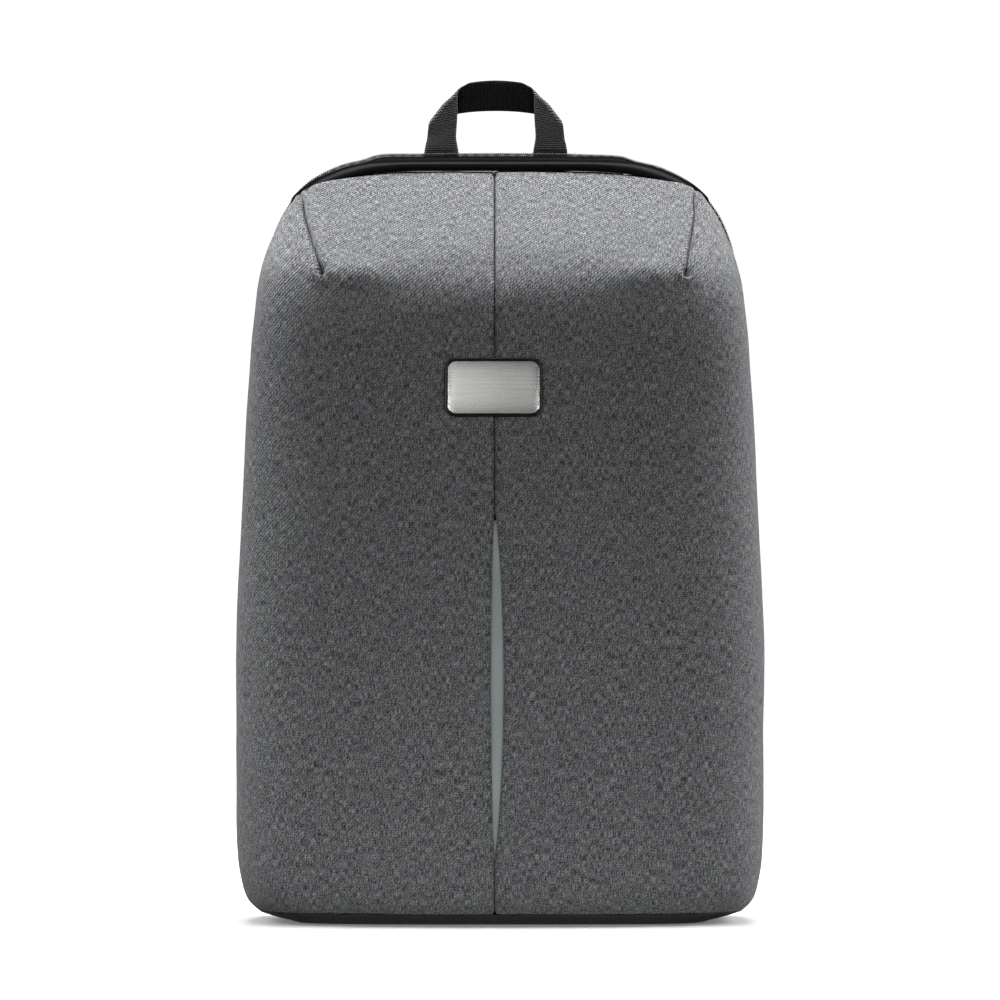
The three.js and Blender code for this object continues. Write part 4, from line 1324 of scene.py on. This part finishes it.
for word, side in SIDES:
    shape = smooth_curve([strap_place(*row[:3]) for row in STRAP_ROWS], 5)
    table = smooth_curve([Vector((row[3] * PAD_WIDE, row[4] * PAD_THICK, 0))
                          for row in STRAP_ROWS], 5)
    rings = swept(mirrored(shape, side), [pad_section(t.x, t.y) for t in table])
    pad = finish_piece(rolled(rings), f"strap_pad_{word}", cloth_mesh,
                       [f"shoulder_pad_{word}"])
    edges = [[ring[k] for ring in rings] for k in (0, PAD_POINTS // 2)]
    edge_tree = tree_of(edges[0] + edges[1])
    fill_pad(pad, 0, 3.0, 2.6, lambda co: edge_tree.find(co)[2] < EDGE_HELD)
    for near, far in (edges, edges[::-1]):
        line = [a.lerp(b, SEAM_IN) for a, b in zip(near, far)]
        press_seam(pad, resample(line, 160)[0], 0.9, 1.9)
    for name, line, node in (("tab", tab_line, "strap_tab"), ("web", low_line, "strap_webbing")):
        rings = swept(mirrored(line, side), [web_section()] * len(line))
        finish_piece(rolled(rings), f"{name}_webbing_{word}", web_black,
                     [f"{node}_{word}"])

# %% [markdown]
# The moulded adjusters and the zip's slider are right as solids, so they stay and only
# take a material.

# %% Moulded parts
for node in ("strap_adjuster_left", "strap_adjuster_right", "zip_slider", "slider_pull"):
    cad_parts[node].data.materials.clear()
    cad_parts[node].data.materials.append(moulded)
    print(node, "is moulded nylon")

# %% [markdown]
# ## Back panel
# The padded back panel closes the bag behind. It is a skin through rings that follow
# the rim line, filled like the straps. A seam presses in round its edge, and two upright
# channels part the padding.

# %% Back panel rings
BACK_Y, BACK_THICK = 60.3, 10.0
BACK_ROWS = [(0.0, 5.6), (0.1, 4.8), (0.28, 4.6), (0.5, 5.2), (0.7, 7.2), (0.8, 10.0),
             (0.85, 14.0), (0.86, 30.0)]


def back_ring(deep, step):
    ring = []
    for p, inward, _ in rim_line(120)[0]:
        q = p + inward * step
        ring.append(Vector((q.x, BACK_Y + deep * BACK_THICK, q.z)))
    left, right = ring[0], ring[-1]
    for corner in (left, right):
        corner.z = max(step / 2, 2.1)
        corner.x -= math.copysign(3, corner.x)
    ring += [right.lerp(left, k / 20) for k in range(1, 20)]
    return ring


back = finish_piece(rolled([back_ring(*row) for row in BACK_ROWS]), "back_pad", cloth_mesh,
                    ["back_panel"])
fill_pad(back, 5.0, 4.0, 4.0, lambda co: co.y < BACK_Y + 4)
SEAM_INSET = 17.0  # mm from the rim line to the seam that binds the pad's edge
press_seam(back, [p + inward * SEAM_INSET for p, inward, _ in rim_line(600)[0]], 3.2, 2.6)
for side in (-1, 1):
    channel = [Vector((side * 24.0, 0, 60 + k * 2.0)) for k in range(160)]
    press_seam(back, channel, 2.6, 3.0)

# %% [markdown]
# ## Floor
# A pale round floor with a far wall keeps the background plain from every side. Its
# paper glows a little further out, as a lit studio does. It throws no light back at the
# bag, so the lamps alone shape the form.

# %% Floor and wall
def pale_studio():
    material, tree, shader = new_material("pale studio paper", roughness=0.9, specular=0.05)
    shader.inputs["Base Color"].default_value = linear("#f4f4f3")
    place = add(tree, "TexCoord").outputs["Object"]
    distance = add(tree, "VectorMath", {"operation": "LENGTH"}, i0=place).outputs["Value"]
    glow = add(tree, "MapRange", {"From Min": 0.35, "From Max": 1.5, "To Min": 0.12,
                                  "To Max": 1.05}, Value=distance).outputs["Result"]
    shader.inputs["Emission Color"].default_value = linear("#ffffff")
    tree.links.new(glow, shader.inputs["Emission Strength"])
    bm = bmesh.new()
    bmesh.ops.create_circle(bm, cap_ends=True, segments=96, radius=9.0)
    rim_edges = [e for e in bm.edges if len(e.link_faces) < 2]
    wall = bmesh.ops.extrude_edge_only(bm, edges=rim_edges)
    raised = [v for v in wall["geom"] if isinstance(v, bmesh.types.BMVert)]
    bmesh.ops.translate(bm, vec=(0, 0, 9), verts=raised)
    mesh = bpy.data.meshes.new("pale_floor")
    bm.to_mesh(mesh)
    bm.free()
    floor = bpy.data.objects.new("pale_floor", mesh)
    bpy.context.scene.collection.objects.link(floor)
    mesh.materials.append(material)
    floor.visible_diffuse = False
    floor.visible_glossy = False
    print("floor faces", len(mesh.polygons))


pale_studio()

# %% [markdown]
# ## Camera
# The camera stands five metres in front with a long lens, as a catalogue picture does,
# so the outline is nearly the true front view. The lens follows from the size of one
# picture point on the bag.

# %% Camera
MIDDLE_Z, CAMERA_Y, MM_PER_PIXEL = 0.240, -5.0, 0.5714
camera_data = bpy.data.cameras.new("front_camera")
camera_data.sensor_width = 36.0
camera_data.lens = 36.0 * (0.008 - CAMERA_Y) / (MM_PER_PIXEL * 1000 * MM)
camera_data.clip_start, camera_data.clip_end = 0.1, 30.0
camera = bpy.data.objects.new("front_camera", camera_data)
camera.location = (0.0, CAMERA_Y, MIDDLE_Z)
camera.rotation_euler = (math.pi / 2, 0.0, 0.0)
bpy.context.scene.collection.objects.link(camera)
bpy.context.scene.camera = camera
print("lens mm", round(camera_data.lens, 1))

# %% [markdown]
# ## Lights
# A wide light above brightens the sloping top and leaves the upright front darker. Two
# lights from the sides edge the body, two low ones lift the lower front, and narrow
# ones aim at the foot. The cards in front are seen mostly in the steel plate.

# %% Lights
def area_light(name, place, target, size, watts, spread):
    data = bpy.data.lights.new(name, "AREA")
    data.shape, data.size, data.size_y, data.energy = "RECTANGLE", size[0], size[1], watts
    data.spread = math.radians(spread)
    light = bpy.data.objects.new(name, data)
    light.location = place
    light.rotation_euler = (Vector(target) - Vector(place)).to_track_quat("-Z", "Y").to_euler()
    bpy.context.scene.collection.objects.link(light)


LIGHTS = [  # name, place, target, size in metres, watts, spread in degrees
    ("overhead", (0.0, 0.25, 1.70), (0, 0.05, 0.3), (1.3, 0.6), 42.5, 180),
    ("left_side", (-1.5, 0.27, 1.05), (0, 0, 0.38), (0.6, 1.2), 22, 180),
    ("right_side", (1.5, 0.27, 1.05), (0, 0, 0.38), (0.6, 1.2), 27, 180),
    ("front_left", (-0.8, -1.1, 0.10), (0, 0, 0.05), (0.7, 0.3), 3.4, 180),
    ("low_left", (-0.8, -1.1, 0.06), (0, 0, -0.15), (0.7, 0.2), 0.23, 40),
    ("front_right", (0.8, -1.1, 0.10), (0, 0, 0.05), (0.7, 0.3), 3.8, 180),
    ("low_right", (0.8, -1.1, 0.06), (0, 0, -0.15), (0.7, 0.2), 0.27, 40),
    ("plate_card_left", (-0.355, -2.0, 0.33), (-0.355, 0, 0.33), (0.6, 1.0), 1.9, 180),
    ("plate_card_right", (0.25, -2.0, 0.33), (0.25, 0, 0.33), (0.6, 1.0), 0.8, 180),
]
for row in LIGHTS:
    area_light(*row)
print("lights", len(LIGHTS))
world = bpy.data.worlds.new("studio")
bpy.context.scene.world = world
world.use_nodes = True
background = world.node_tree.nodes["Background"]
background.inputs["Color"].default_value = linear("#eef0f2")
background.inputs["Strength"].default_value = 0.05
bpy.context.scene.view_settings.view_transform = "Standard"
